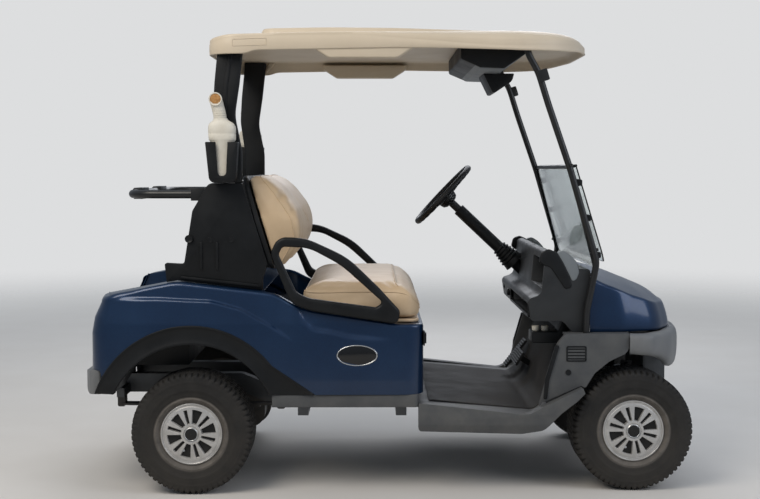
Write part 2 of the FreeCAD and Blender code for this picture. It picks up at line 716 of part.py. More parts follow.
def front_fenders():
    """Fender with the kick panel behind each front wheel."""
    outline = at_front([(-362, 316, 8), (-348, 338, 10), (-200, 402, 8), (-186, 392, 10), (-150, 450, 60),
                        (-96, 494, 60), (-21, 530, 40), (-20.3, fender_top, 0), (-262, fender_top, 10), (-292, 560, 60),
                        (-332, 424, 60)])
    skin = prism(outline, "XZ", fender_y, fender_y + 24)
    shelf = box((front_axle_x - 262, dash_half_width - 14, fender_top - 8), (front_axle_x - 22, fender_y, fender_top))
    return pair(skin.fuse(shelf).removeSplitter().cut(front_strut_tube()))


# Cabin

def dashboard():
    """Dash with its raised ends, the shelf and the cup box, ahead of the knees."""
    foot = fender_top + seat_gap
    side = at_front([(-330, 902, 26), (-300, 906, 20), (-250, 842, 60), (-161, 838, 10), (-161, foot, 0),
                     (-228, foot, 0), (-262, 640, 30), (-385, 640, 16), (-398, 724, 20), (-345, 742, 30)])
    block = prism(side, "XZ", -dash_half_width, dash_half_width)
    cubby = prism(at_front([(-400, 766, 16), (-360, 872, 30), (-290, 872, 30), (-230, 800, 30), (-230, 766, 16)]),
                  "XZ",
                  14 - dash_half_width, -150)
    shelf = prism(at_front([(-410, 660, 12), (-410, 708, 12), (-290, 708, 12), (-290, 660, 12)]), "XZ",
                  14 - dash_half_width, 130)
    block = block.cut(cubby).cut(shelf)
    return largest(block.cut(column_body()))


def pedals():
    """Wide brake pedal and the accelerator pedal, each on its arm from the toe board."""
    # columns: middle across, pad width, pad height, pad tilt, pad centre forward, pad centre up
    solids = []
    for y, width, height, tilt, x, z in (
            (half_width - 450, 190.0, 62.0, 58.0, -362.0, 412.0), (half_width - 270, 84.0, 150.0, 52.0, -352.0, 400.0)):
        pad = prism([(-height / 2, -5, 2), (height / 2, -5, 2), (height / 2, 5, 2), (-height / 2, 5, 2)],
                    "XZ", -width / 2, width / 2)
        arm = prism([(-10, -100, 0), (14, -100, 0), (14, 0, 4), (-10, 0, 4)], "XZ", -8, 8)
        pedal = pad.fuse(arm).removeSplitter()
        pedal.rotate(V(0, 0, 0), V(0, 1, 0), -tilt)
        pedal.translate(V(front_axle_x + x, y, z))
        board = prism(floor_line() + at_front([(200, toe_board_top, 0), (200, 0, 0)])
                      + at_rear([(pod_front - 30, 0, 0)]), "XZ", 0, 600)
        solids.append(largest(pedal.cut(board)))
    return Part.makeCompound(solids)


# Seat

def back_line(z, shift):
    """Point on the seat back's rear line at a height, moved forward by shift."""
    slope = (back_high[0] - back_low[0]) / (back_high[1] - back_low[1])
    return back_low[0] + (z - back_low[1]) * slope + shift


def seat_back_cushion():
    """Crowned back cushion with two lobes, one for each person."""
    side = at_rear([(back_line(1184, 0), 1184, 16), (232, 1210, 26), (300, 1170, 80), (400, 1040, 120),
                    (419, 965, 90), (346, 838, 20), (back_line(850, 0), 850, 12)])
    front = both_halves([(seat_back_half_width - 12, 830, 40), (seat_back_half_width, 1000, 200),
                         (seat_back_half_width - 40, 1222, 110), (seat_back_half_width / 2, 1216, 200), (60, 1200, 60),
                         (0.001, 1172, 0)], False)
    return three_view(side, front, None)


def seat_back_shell():
    """Moulded shell behind the back cushion."""
    low, high = 838, 1192
    side = at_rear([(back_line(high, -seat_gap), high, 4), (back_line(high, -back_shell), high, 12),
                    (back_line(low, -back_shell), low, 12), (back_line(low, -seat_gap), low, 4)])
    front = both_halves([(seat_back_half_width - 6, low, 40), (seat_back_half_width + 4, 1000, 200),
                         (seat_back_half_width - 34, high, 90)], False)
    return three_view(side, front, None)


def seat_bottom_pan():
    """Rigid base of the seat bottom, hinged at its rear edge."""
    z = pod_top_z + seat_gap
    plan = both_halves(at_rear([(seat_hinge[0], seat_half_width - 6, 20), (pod_front - 16, seat_half_width - 6, 50)]),
                       True)
    return prism(plan, "XY", z, z + seat_pan_height)


def seat_bottom_cushion():
    """Seat cushion with a rolled front edge."""
    low = pod_top_z + seat_gap + seat_pan_height + seat_gap
    side = at_rear([(398, low, 10), (398, 776, 40), (560, 794, 300), (790, 788, 60), (866, 716, 50),
                    (860, low, 20)])
    section = both_halves([(seat_half_width - 10, low, 10), (seat_half_width, 720, 60),
                           (seat_half_width - 20, 782, 50), (0.001, 800, 0)], False)
    plan = both_halves(at_rear([(398, seat_half_width, 50), (866, seat_half_width, 80)]), True)
    return three_view(side, section, plan)


def armrests():
    """Moulded hip restraint loops standing on the rear body beside the seat."""
    outer = at_rear([(298, 905, 40), (325, 966, 60), (430, 962, 200), (585, 890, 300), (700, 778, 200),
                     (780, 690, 20)]
                    + [(u, v + seat_gap, r) for u, v, r in reversed(armrest_seat)])
    inner = at_rear([(328, 900, 20), (342, 930, 18), (440, 926, 150), (560, 862, 300), (716, 722, 14),
                     (690, 704, 14), (440, 738, 100), (394, 760, 40)])
    low, high = armrest_y, armrest_y + armrest_width
    return pair(prism(outer, "XZ", low, high).cut(prism(inner, "XZ", low - 1, high + 1)))


# Roof and its supports

def side_panels():
    """Upright plates behind the seat that carry the roof struts and the bag rack."""
    front_low = seat_well_rear - 3
    outline = at_rear([(deck_rear[0], deck_rear[1] + seat_gap, 0), (deck_rear[0] - 40, deck_rear[1] - 6, 0),
                       (deck_rear[0] - 48, 864, 8), (-34, 860, 12), (-2, 1060, 20), (60, side_panel_top, 30),
                       (back_line(side_panel_top, -back_shell - seat_gap), side_panel_top, 4),
                       (back_line(862, -back_shell - seat_gap), 862, 30), (front_low, 800, 20),
                       (front_low, deck_height(front_low) + seat_gap, 0)])
    plate = prism(outline, "XZ", side_panel_y, side_panel_y + side_panel_width)
    return pair(plate)


def rear_struts():
    """Curved moulded struts from the side panels up into the roof."""
    foot = side_panel_top + seat_gap
    rise = ceiling_z - foot
    outline = at_rear([(104, foot, 0), (98, foot + 0.233 * rise, 200), (78, foot + 0.495 * rise, 200),
                       (84, foot + 0.7 * rise, 200), (100, ceiling_z, 0), (196, ceiling_z, 0),
                       (178, foot + 0.7 * rise, 160), (160, foot + 0.476 * rise, 160),
                       (186, foot + 0.233 * rise, 200),
                       (back_line(side_panel_top, -back_shell - seat_gap), foot, 0)])
    strut = prism(outline, "XZ", side_panel_y, side_panel_y + side_panel_width)
    return pair(largest(strut.cut(canopy())))


def front_strut_tube():
    """Left front strut's full length, before it is trimmed at the roof."""
    path = at_front([(-177, 560, 0), (-176, 679, 120), (-139, 866, 90), (-236, 1210, 500), (-390, ceiling_z + 6, 0)])
    return tube([(u, front_strut_y, v, r) for u, v, r in path], front_strut_radius)


def front_struts():
    """Bent tubes from the fenders up past the windshield to the roof."""
    return pair(largest(front_strut_tube().cut(canopy())))


def windshield():
    """Lower pane between the struts, and the upper pane folded down in front of it."""
    lower = at_front([(-142, 842, 0), (-137, 843, 0), (-236, 1216, 0), (-241, 1215, 0)])
    upper = at_front([(-111, 866, 0), (-106, 868, 0), (-216, 1225.9, 0), (-221, 1224.2, 0)])
    reach = front_strut_y - front_strut_radius - seat_gap
    lower_front = both_halves([(reach, 830, 30), (reach, 1230, 0)], False)
    upper_front = both_halves([(reach + 8, 850, 70), (reach + 8, 1240, 6)], False)
    return Part.makeCompound([three_view(lower, lower_front, None), three_view(upper, upper_front, None)])


def windshield_rails():
    """Hinge strip between the two panes."""
    strip = at_front([(-243, 1217, 2), (-243, 1232, 4), (-214, 1236, 4), (-214, 1227, 2)])
    reach = front_strut_y - front_strut_radius - seat_gap
    return prism(strip, "XZ", -reach, reach)


def canopy_outlines():
    """Side, section and plan outlines of the roof without its raised middle."""
    side = [(rear_axle_x + roof_rear, lip_z, 8), (rear_axle_x + roof_rear + 8, roof_height - 50, 40),
            (rear_axle_x + roof_rear + 80, roof_height - 24, 80), (front_axle_x - 420, roof_height - 12, 900),
            (front_axle_x - 200, roof_height - 18, 160), (front_axle_x - roof_front, lip_z + 22, 12),
            (front_axle_x - 190, lip_z + 8, 200), (front_axle_x - 330, lip_z, 300)]
    section = both_halves([(roof_half_width, lip_z - 10, 0), (roof_half_width, roof_height - 74, 20),
                           (roof_half_width - 14, roof_height - 26, 22), (roof_half_width - 60, roof_height - 13, 80),
                           (0.001, roof_height - 6, 0)], False)
    plan = both_halves([(rear_axle_x + roof_rear, roof_half_width, 110),
                        (front_axle_x - 420, roof_half_width, 800), (front_axle_x - 210, roof_half_width - 90, 260),
                        (front_axle_x - roof_front, 200, 260)], True)
    return side, section, plan


def canopy():
    """Moulded roof: open shell with a deep lip, raised middle and hand holds under its sides."""
    side, section, plan = canopy_outlines()
    outer = three_view(side, section, plan)
    crown = roof_half_width - 122
    raised = prism([(rear_axle_x + 236, ceiling_z, 0), (rear_axle_x + 262, roof_height - 3, 30),
                    (rear_axle_x + 420, roof_height, 300), (front_axle_x - 600, roof_height, 300),
                    (front_axle_x - 250, roof_height - 18, 200), (front_axle_x - 240, ceiling_z, 0)],
                   "XZ", -crown, crown)
    outer = outer.fuse(raised)
    below = lip_z - 150
    hollow = prism(inset(plan, roof_wall + 9), "XY", below, ceiling_z)
    slope = prism([(rear_axle_x, below, 0), (rear_axle_x + roof_rear + 14, lip_z + 12, 0),
                   (rear_axle_x + roof_rear + 58, ceiling_z, 20), (front_axle_x - 250, ceiling_z, 120),
                   (front_axle_x - 150, lip_z + 24, 0), (front_axle_x - 150, below, 0)], "XZ", -far, far)
    shell = outer.cut(hollow.common(slope))
    grip_middle = rear_axle_x + 642
    grip_low = lip_z - 22
    grip = prism([(-178, ceiling_z, 0), (-178, lip_z + 10, 0), (-118, grip_low, 16), (118, grip_low, 16),
                  (178, lip_z + 10, 0), (178, ceiling_z, 0)], "XZ", roof_half_width - 62, roof_half_width - 8)
    grip.translate(V(grip_middle, 0, 0))
    return fused([shell, grip, mirrored(grip)])


def overhead_console():
    """Console across the front of the roof's underside."""
    low = ceiling_z - 96
    side = at_front([(-648, ceiling_z, 0), (-648, low + 36, 8), (-572, low + 2, 14), (-480, low, 14),
                     (-392, low + 60, 10), (-392, ceiling_z, 0)])
    half = roof_half_width - 162
    return prism(side, "XZ", -half, half)


def display():
    """Screen head hung under the console, facing the seat."""
    top = ceiling_z - 96.3
    side = at_front([(-538, top, 0), (-500, top - 75.7, 6), (-488, top - 75.7, 8), (-420, top - 29.7, 30),
                     (-412, top, 0), (-480, top, 0)])
    return prism(side, "XZ", -120, 120)


# Fittings

def bag_rack():
    """Bent bar that stands out behind the seat, with its two saddles for the bags."""
    z = 1122.0
    inner = side_panel_y
    path = [(rear_axle_x + 30, inner - 16, z, 0), (rear_axle_x - 250, inner - 16, z, 110),
            (rear_axle_x - 250, -inner + 16, z, 110), (rear_axle_x + 30, -inner + 16, z, 0)]
    bar = tube(path, rack_bar_radius)
    pads = [box((rear_axle_x - 10, s * (inner - 8) - 8, z - 24), (rear_axle_x + 40, s * (inner - 8) + 8, z + 24))
            for s in (-1, 1)]
    saddles = [box((rear_axle_x - 262, s * 215 - 70, z - 22), (rear_axle_x - 228, s * 215 + 70, z + 22))
               for s in (-1, 1)]
    return fused([bar] + pads + saddles)


def bottle_holders():
    """Tapered pockets for the sand bottles, outside the struts."""
    y = side_panel_y + side_panel_width + seat_gap
    side = at_rear([(72, holder_floor, 24), (58, 1318, 4), (178, 1318, 4), (170, holder_floor, 24)])
    front = [(y, 1150, 0), (y, 1330, 0), (y + 76, 1330, 0), (y + 66, 1150, 30)]
    outer = three_view(side, front, None)
    inner = three_view([(u, v + (40 if v > 1300 else 0), r) for u, v, r in inset(side, holder_wall)],
                       [(u, v + (40 if v > 1300 else 0), r) for u, v, r in inset(front, holder_wall)], None)
    slot = prism(at_rear([(104, 1192, 20), (92, 1400, 0), (146, 1400, 0), (134, 1192, 20)]), "XZ", y + 30, far)
    return pair(outer.cut(inner).cut(slot))


def bottles():
    """Sand bottles standing in the holders, with their wide pouring spouts."""
    y = side_panel_y + side_panel_width + seat_gap + 36
    low = holder_floor + holder_wall + seat_gap
    side = [(-38, low, 22), (38, low, 22), (50, 1372, 30), (26, 1388, 10), (26, 1482, 0), (-28, 1502, 0),
            (-28, 1388, 10), (-52, 1372, 30)]
    front = [(-24, low, 18), (24, low, 18), (29, 1366, 26), (22, 1390, 10), (22, 1520, 0), (-22, 1520, 0),
             (-22, 1390, 10), (-29, 1366, 26)]
    bottle = three_view(side, front, None)
    bottle.translate(V(rear_axle_x + 119, y, 0))
    return pair(bottle)


nodes = {}


def build():
    """Name every piece and write it out."""
    front = (front_axle_x, front_half_track, tyre_radius)
    rear = (rear_axle_x, rear_half_track, tyre_radius)
    nodes["frame"] = frame()
    nodes["front_suspension"] = front_suspension()
    nodes["knuckle_left"] = knuckle()
    nodes["knuckle_right"] = mirrored(knuckle())
    nodes["steering_rack"] = steering_rack()
    nodes["rack_housing"] = rack_housing()
    nodes["steering_column"] = steering_column()
    nodes["steering_wheel"] = steering_wheel()
    nodes["rear_axle"] = rear_axle()
    nodes["rear_springs"] = rear_springs()
    nodes["motor"] = motor()
    nodes["batteries"] = batteries()
    front_wheel = wheel(front, axle_radius + running_gap, None)
    rear_wheel = wheel(rear, axle_radius, -rear_half_track + 400)
    nodes["tyre_front_left"] = tyre(front)
    nodes["tyre_rear_left"] = tyre(rear)
    nodes["tyre_front_right"] = mirrored(nodes["tyre_front_left"])
    nodes["tyre_rear_right"] = mirrored(nodes["tyre_rear_left"])
    nodes["wheel_front_left"] = front_wheel
    nodes["wheel_rear_left"] = rear_wheel
    nodes["wheel_front_right"] = mirrored(front_wheel)
    nodes["wheel_rear_right"] = mirrored(rear_wheel)
    nodes["floor_pan"] = floor_pan()
    nodes["rear_body"] = rear_body()
    nodes["arch_trims"] = arch_trims()
    nodes["sills"] = sills()
    nodes["bag_well"] = bag_well()
    nodes["rear_bumper"] = rear_bumper()
    nodes["front_cowl"] = front_cowl()
    nodes["front_bumper"] = front_bumper()
    nodes["front_fenders"] = front_fenders()
    nodes["dashboard"] = dashboard()
    nodes["pedals"] = pedals()
    nodes["seat_back_cushion"] = seat_back_cushion()
    nodes["seat_back_shell"] = seat_back_shell()
    nodes["seat_bottom_pan"] = seat_bottom_pan()
    nodes["seat_bottom_cushion"] = seat_bottom_cushion()
    nodes["armrests"] = armrests()
    nodes["side_panels"] = side_panels()
    nodes["rear_struts"] = rear_struts()
    nodes["front_struts"] = front_struts()
    nodes["windshield"] = windshield()
    nodes["windshield_rails"] = windshield_rails()
    nodes["canopy"] = canopy()
    nodes["overhead_console"] = overhead_console()
    nodes["display"] = display()
    nodes["bag_rack"] = bag_rack()
    nodes["bottle_holders"] = bottle_holders()
    nodes["bottles"] = bottles()
    os.makedirs("parts", exist_ok=True)
    for name, shape in nodes.items():
        shape.exportStep(f"parts/{name}.step")
        solids = len(shape.Solids)
        print(f"{name:20s} solids {solids} volume {shape.Volume / 1e6:9.3f} l valid {shape.isValid()}")


build()
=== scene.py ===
"""Two-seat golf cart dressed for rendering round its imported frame.

Units are metres, in the frame's own axes: +X is forward, +Y the driver's side (left), +Z up. Outline
tables are in millimetres, measured from the rear or the front axle as the cart's drawings are.
"""
from __future__ import annotations

import json
import logging
import math
from collections.abc import Callable, Iterator, Sequence
from contextlib import contextmanager
from dataclasses import dataclass
from enum import Enum
from math import cos, dist, hypot, pi, radians, sin, tau

import bpy
from mathutils import Matrix, Vector, noise

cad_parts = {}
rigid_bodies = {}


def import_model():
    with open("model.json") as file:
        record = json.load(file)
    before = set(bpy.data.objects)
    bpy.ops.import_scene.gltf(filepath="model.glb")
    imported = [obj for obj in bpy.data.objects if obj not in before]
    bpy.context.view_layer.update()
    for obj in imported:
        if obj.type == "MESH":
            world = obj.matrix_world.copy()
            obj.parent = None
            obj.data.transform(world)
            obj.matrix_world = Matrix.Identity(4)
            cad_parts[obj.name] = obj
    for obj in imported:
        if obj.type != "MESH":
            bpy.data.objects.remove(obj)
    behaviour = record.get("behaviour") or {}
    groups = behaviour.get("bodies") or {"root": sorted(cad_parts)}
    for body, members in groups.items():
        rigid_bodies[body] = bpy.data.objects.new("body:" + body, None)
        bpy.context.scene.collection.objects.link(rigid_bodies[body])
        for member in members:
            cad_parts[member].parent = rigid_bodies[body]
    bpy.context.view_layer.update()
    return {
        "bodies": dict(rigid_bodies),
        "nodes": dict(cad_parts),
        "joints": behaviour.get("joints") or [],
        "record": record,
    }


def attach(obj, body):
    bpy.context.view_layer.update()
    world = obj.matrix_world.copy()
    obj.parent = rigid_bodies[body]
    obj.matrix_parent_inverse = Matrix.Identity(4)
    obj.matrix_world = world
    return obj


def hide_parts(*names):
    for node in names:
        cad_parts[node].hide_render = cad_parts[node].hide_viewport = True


log = logging.getLogger("golf_cart")

MM = 0.001
REAR_AXLE = -744.0
FRONT_AXLE = 920.0
AXLE_HEIGHT = 228.5
PANEL_WALL = 3.5
TRIM_WALL = 3.0
# columns: name, axle, distance of the wheel's middle plane, side
WHEELS = (
    ("front_left", FRONT_AXLE, 438.0, 1), ("front_right", FRONT_AXLE, 438.0, -1),
    ("rear_left", REAR_AXLE, 489.0, 1), ("rear_right", REAR_AXLE, 489.0, -1))

Corner = tuple[float, float, float]
Pair = tuple[float, float]
Object = bpy.types.Object
Material = bpy.types.Material
Node = bpy.types.Node
Socket = bpy.types.NodeSocket
Tree = bpy.types.NodeTree


class Plane(Enum):
    """Planes that an outline lies in."""

    XZ = "seen from the side"
    YZ = "seen from the front"
    XY = "seen from above"

    def place(self, u: float, v: float, depth: float) -> Vector:
        """Point of an outline in space."""
        return {
            Plane.XZ: Vector((u, depth, v)), Plane.YZ: Vector((depth, u, v)),
            Plane.XY: Vector((u, v, depth))}[self]


def at_rear(corners: Sequence[Corner]) -> list[Corner]:
    """Corners measured from the rear axle, moved to their place."""
    return [(u + REAR_AXLE, v, r) for u, v, r in corners]


def at_front(corners: Sequence[Corner]) -> list[Corner]:
    """Corners measured from the front axle, moved to their place."""
    return [(u + FRONT_AXLE, v, r) for u, v, r in corners]


def rounded(corners: Sequence[Corner], closed: bool = True, turn: float = 12.0) -> list[Pair]:
    """Turn a table of corners into outline points.

    Args:
        corners: Rows of across, up and corner radius, in millimetres.
        closed: Whether the last corner joins the first.
        turn: Degrees of arc between two points of a rounded corner.

    Returns:
        Points in metres.
    """
    points: list[Pair] = []
    count = len(corners)
    for i, (u, v, radius) in enumerate(corners):
        here = Vector((u, v))
        if radius <= 0 or (not closed and i in (0, count - 1)):
            points.append((u * MM, v * MM))
            continue
        back = Vector(corners[i - 1][:2]) - here
        ahead = Vector(corners[(i + 1) % count][:2]) - here
        half = back.angle(ahead) / 2
        if half > radians(89):
            points.append((u * MM, v * MM))
            continue
        setback = min(radius / math.tan(half), 0.49 * min(back.length, ahead.length))
        bend = setback * math.tan(half)
        middle = here + (back.normalized() + ahead.normalized()).normalized() * bend / sin(half)
        start = here + back.normalized() * setback - middle
        end = here + ahead.normalized() * setback - middle
        sweep = start.angle_signed(end)
        steps = max(2, math.ceil(abs(math.degrees(sweep)) / turn))
        for step in range(steps + 1):
            a = -sweep * step / steps
            arc = Vector((start.x * cos(a) - start.y * sin(a), start.x * sin(a) + start.y * cos(a)))
            points.append(((middle.x + arc.x) * MM, (middle.y + arc.y) * MM))
    return points


def resampled(points: Sequence[Pair], spacing: float) -> list[Pair]:
    """Points along an open line at equal spacing, in the line's own unit."""
    lengths = [0]
    for a, b in zip(points, points[1:]):
        lengths.append(lengths[-1] + dist(a, b))
    count = max(2, round(lengths[-1] / spacing))
    result = []
    index = 0
    for step in range(count + 1):
        target = lengths[-1] * step / count
        while index < len(points) - 2 and lengths[index + 1] < target:
            index += 1
        run = lengths[index + 1] - lengths[index]
        share = (target - lengths[index]) / run if run else 0
        a, b = points[index], points[index + 1]
        result.append((a[0] + (b[0] - a[0]) * share, a[1] + (b[1] - a[1]) * share))
    return result


def interpolate(table: Sequence[Pair], at: float) -> float:
    """Height of a line through the table's points, level beyond its ends."""
    if at <= table[0][0]:
        return table[0][1]
    for (x0, y0), (x1, y1) in zip(table, table[1:]):
        if at <= x1:
            return y0 + (y1 - y0) * (at - x0) / (x1 - x0)
    return table[-1][1]


def eased(table: Sequence[Pair], at: float, reach: float) -> float:
    """Height of a line with its corners rounded over a reach on both sides."""
    return sum(interpolate(table, at + reach * step / 3) for step in range(-3, 4)) / 7


def heading(line: Sequence[Pair], index: int) -> Vector:
    """Unit direction of a line at one of its points."""
    (u0, v0), (u1, v1) = line[max(0, index - 1)], line[min(len(line) - 1, index + 1)]
    return Vector((u1 - u0, v1 - v0)).normalized()


def circle(radius: float, count: int) -> list[Pair]:
    """Points round a circle about zero, from the first axis on."""
    return [(radius * cos(tau * i / count), radius * sin(tau * i / count)) for i in range(count)]


def metres(x: float, y: float, z: float) -> Vector:
    """Point given in millimetres."""
    return Vector((x, y, z)) * MM


def box(left: float, right: float, low: float, high: float, radius: float) -> list[Corner]:
    """Corners of a rectangle, all rounded alike."""
    return [(left, low, radius), (right, low, radius), (right, high, radius), (left, high, radius)]


def even_line(corners: Sequence[Corner], spacing: float) -> list[Pair]:
    """Open line with rounded corners, as points at equal spacing, in millimetres."""
    return [(u / MM, v / MM) for u, v in resampled(rounded(corners, False, 5), spacing * MM)]


def smooth_step(low: float, high: float, at: float) -> float:
    """Zero below low, one above high, with a soft rise between."""
    share = min(1, max(0, (at - low) / (high - low)))
    return share * share * (3 - 2 * share)


# Modelling steps shared by all the sub-assemblies

def clear() -> None:
    """Leave edit mode and select nothing."""
    if bpy.context.object and bpy.context.object.mode != "OBJECT":
        bpy.ops.object.mode_set(mode="OBJECT")
    bpy.ops.object.select_all(action="DESELECT")


def added(name: str, data: bpy.types.ID) -> Object:
    """New object in the scene."""
    piece = bpy.data.objects.new(name, data)
    bpy.context.scene.collection.objects.link(piece)
    return piece


def pick(piece: Object) -> None:
    """Select one piece alone."""
    clear()
    piece.select_set(True)
    bpy.context.view_layer.objects.active = piece


@contextmanager
def editing(piece: Object) -> Iterator[None]:
    """Edit mode on all of one piece."""
    pick(piece)
    bpy.ops.object.mode_set(mode="EDIT")
    bpy.ops.mesh.select_all(action="SELECT")
    yield
    bpy.ops.object.mode_set(mode="OBJECT")


def outward(piece: Object, merge: float = 0.00001) -> None:
    """Merge doubles and turn all the faces outwards."""
    with editing(piece):
        bpy.ops.mesh.remove_doubles(threshold=merge)
        bpy.ops.mesh.normals_make_consistent(inside=False)


def modify(piece: Object, kind: str, **settings: object) -> None:
    """Add a modifier with its settings and apply it."""
    pick(piece)
    modifier = piece.modifiers.new(kind.title(), kind)
    for key, value in settings.items():
        setattr(modifier, key, value)
    bpy.ops.object.modifier_apply(modifier=modifier.name)


def soften(piece: Object, width: float, segments: int = 2, angle: float = 32.0) -> Object:
    """Round the sharp edges and shade the rest smooth.

    Args:
        piece: Mesh to finish.
        width: Width of the rounded edges in millimetres.
        segments: Faces across each rounded edge.
        angle: Least angle in degrees that counts as sharp.

    Returns:
        The same piece.
    """
    modify(
        piece, "BEVEL", width=width * MM, segments=segments, limit_method="ANGLE", angle_limit=radians(angle),
        harden_normals=False)
    return smooth(piece)


def smooth(piece: Object, angle: float = 34.0) -> Object:
    """Shade smooth across all but sharp edges."""
    pick(piece)
    bpy.ops.object.shade_smooth_by_angle(angle=radians(angle))
    return piece


def paired(piece: Object) -> Object:
    """Add the mirror image on the other side of the cart."""
    modify(piece, "MIRROR", use_axis=(False, True, False), merge_threshold=0.00002)
    return piece


def joined(name: str, pieces: Sequence[Object]) -> Object:
    """One object of several meshes."""
    pick(pieces[0])
    for piece in pieces[1:]:
        piece.select_set(True)
    if len(pieces) > 1:
        bpy.ops.object.join()
    whole = bpy.context.view_layer.objects.active
    whole.name = name
    return whole


def slab(
        name: str, corners: Sequence[Corner], low: float, high: float, turn: float = 12.0,
        plane: Plane = Plane.XZ) -> Object:
    """Outline extruded between two depths.

    Args:
        name: Name of the piece.
        corners: Rows of across, up and corner radius, in millimetres.
        low: First depth in millimetres.
        high: Second depth in millimetres.
        turn: Degrees of arc between two points of a rounded corner.
        plane: Plane that the outline lies in.

    Returns:
        The closed mesh.
    """
    points = rounded(corners, True, turn)
    clear()
    bpy.ops.mesh.primitive_circle_add(vertices=len(points), radius=1, fill_type="NGON")
    piece = bpy.context.object
    for vertex, (u, v) in zip(piece.data.vertices, points):
        vertex.co = plane.place(u, v, low * MM)
    with editing(piece):
        along = plane.place(0, 0, (high - low) * MM)
        bpy.ops.mesh.extrude_region_move(TRANSFORM_OT_translate={"value": along})
    piece.name = name
    outward(piece)
    return piece


def turned(
        name: str, corners: Sequence[Corner], centre: Vector, steps: int = 72, turn: float = 15.0) -> Object:
    """Outline of across and radius, turned about the axle line through the centre.

    Args:
        name: Name of the piece.
        corners: Rows of distance outboard, radius and corner radius, in millimetres.
        centre: Point on the axis, in metres.
        steps: Faces round the ring.
        turn: Degrees of arc between two points of a rounded corner.

    Returns:
        The closed mesh.
    """
    points = rounded(corners, True, turn)
    clear()
    bpy.ops.mesh.primitive_circle_add(vertices=len(points), radius=1, fill_type="NOTHING")
    piece = bpy.context.object
    for vertex, (across, radius) in zip(piece.data.vertices, points):
        vertex.co = centre + Vector((0, across, radius))
    with editing(piece):
        bpy.ops.mesh.spin(steps=steps, angle=tau, center=centre, axis=(0, 1, 0))
    piece.name = name
    outward(piece)
    return piece


def skin(name: str, rows: int, columns: int, place: Callable[[int, int], Vector]) -> Object:
    """Grid whose points are placed one by one.

    Args:
        name: Name of the piece.
        rows: Number of rows of points.
        columns: Number of points in a row.
        place: Gives the point at a row and a column, in metres.

    Returns:
        The mesh, with coincident points merged.
    """
    clear()
    bpy.ops.mesh.primitive_grid_add(x_subdivisions=columns - 1, y_subdivisions=rows - 1, size=1)
    piece = bpy.context.object
    for index, vertex in enumerate(piece.data.vertices):
        vertex.co = place(index // columns, index % columns)
    piece.name = name
    outward(piece)
    return piece


def bar(
        name: str, points: Sequence[Vector], radius: float, closed: bool = False, order: int = 3,
        sides: int = 4, steps: int = 3) -> Object:
    """Round bar along a smooth line.

    Args:
        name: Name of the piece.
        points: Control points in metres.
        radius: Radius in millimetres.
        closed: Whether the line joins up.
        order: Order of the line; two gives straight runs.
        sides: Resolution of the round section.
        steps: Rings between two control points.

    Returns:
        The bar as a mesh.
    """
    clear()
    bpy.ops.curve.primitive_nurbs_path_add()
    path = bpy.context.object
    path.data.splines.clear()
    spline = path.data.splines.new("NURBS")
    spline.points.add(len(points) - 1)
    for control, point in zip(spline.points, points):
        control.co = (*point, 1)
    spline.order_u = order
    spline.use_endpoint_u = not closed
    spline.use_cyclic_u = closed
    spline.resolution_u = steps
    path.data.dimensions = "3D"
    path.data.bevel_depth = radius * MM
    path.data.bevel_resolution = sides
    path.data.use_fill_caps = not closed
    bpy.ops.object.convert(target="MESH")
    piece = bpy.context.object
    piece.name = name
    outward(piece)
    return smooth(piece, 50)


def knob(name: str, place: Vector, axis: Vector, radius: float, height: float, sides: int = 24) -> Object:
    """Low round knob or screw head with a dished face.

    Args:
        name: Name of the piece.
        place: Middle of its foot, in metres.
        axis: Direction it stands in.
        radius: Radius in millimetres.
        height: Height in millimetres.
        sides: Faces round it.

    Returns:
        The mesh.
    """
    turn = Vector((0, 0, 1)).rotation_difference(axis).to_matrix().to_4x4()
    clear()
    bpy.ops.mesh.primitive_cylinder_add(vertices=sides, radius=radius * MM, depth=height * MM)
    piece = bpy.context.object
    bpy.ops.object.mode_set(mode="EDIT")
    bpy.ops.mesh.select_all(action="DESELECT")
    bpy.ops.object.mode_set(mode="OBJECT")
    for polygon in piece.data.polygons:
        polygon.select = polygon.normal.z > 0.9
    bpy.ops.object.mode_set(mode="EDIT")
    bpy.ops.mesh.inset(thickness=radius * 0.35 * MM, depth=-height * 0.25 * MM)
    bpy.ops.object.mode_set(mode="OBJECT")
    piece.data.transform(Matrix.Translation(place) @ turn @ Matrix.Translation((0, 0, height / 2 * MM)))
    piece.name = name
    soften(piece, min(radius, height) * 0.2, 2)
    return piece


def cut(piece: Object, tool: Object) -> None:
    """Cut one mesh out of another and drop the tool."""
    modify(piece, "BOOLEAN", object=tool, operation="DIFFERENCE", solver="EXACT")
    bpy.data.objects.remove(tool)


def facing_out(piece: Object) -> None:
    """Turn an open sheet over if its right half, by area, faces the middle of the cart."""
    if sum(face.normal.y * face.area for face in piece.data.polygons if face.center.y < 0) > 0:
        with editing(piece):
            bpy.ops.mesh.flip_normals()


def walled(piece: Object, wall: float) -> None:
    """Turn an open sheet outwards and give it its wall inwards, in millimetres."""
    facing_out(piece)
    modify(piece, "SOLIDIFY", thickness=wall * MM, offset=-1)


def refined(node: Object, name: str, width: float, segments: int = 3, angle: float = 40.0) -> Object:
    """Copy of a CAD node with its flat faces rejoined and its sharp edges rounded.

    Args:
        node: CAD node.
        name: Name of the new piece.
        width: Width of the rounded edges in millimetres.
        segments: Faces across each rounded edge.
        angle: Least angle in degrees that counts as sharp.

    Returns:
        The finished copy.
    """
    piece = copy_of(node, name)
    with editing(piece):
        bpy.ops.mesh.dissolve_limited(angle_limit=radians(0.6))
    return soften(piece, width, segments, angle)


def copy_of(node: Object, name: str) -> Object:
    """Merged copy of a CAD node's mesh, as a new piece at the origin."""
    clear()
    piece = added(name, node.data.copy())
    with editing(piece):
        bpy.ops.mesh.remove_doubles(threshold=0.00002)
    return piece


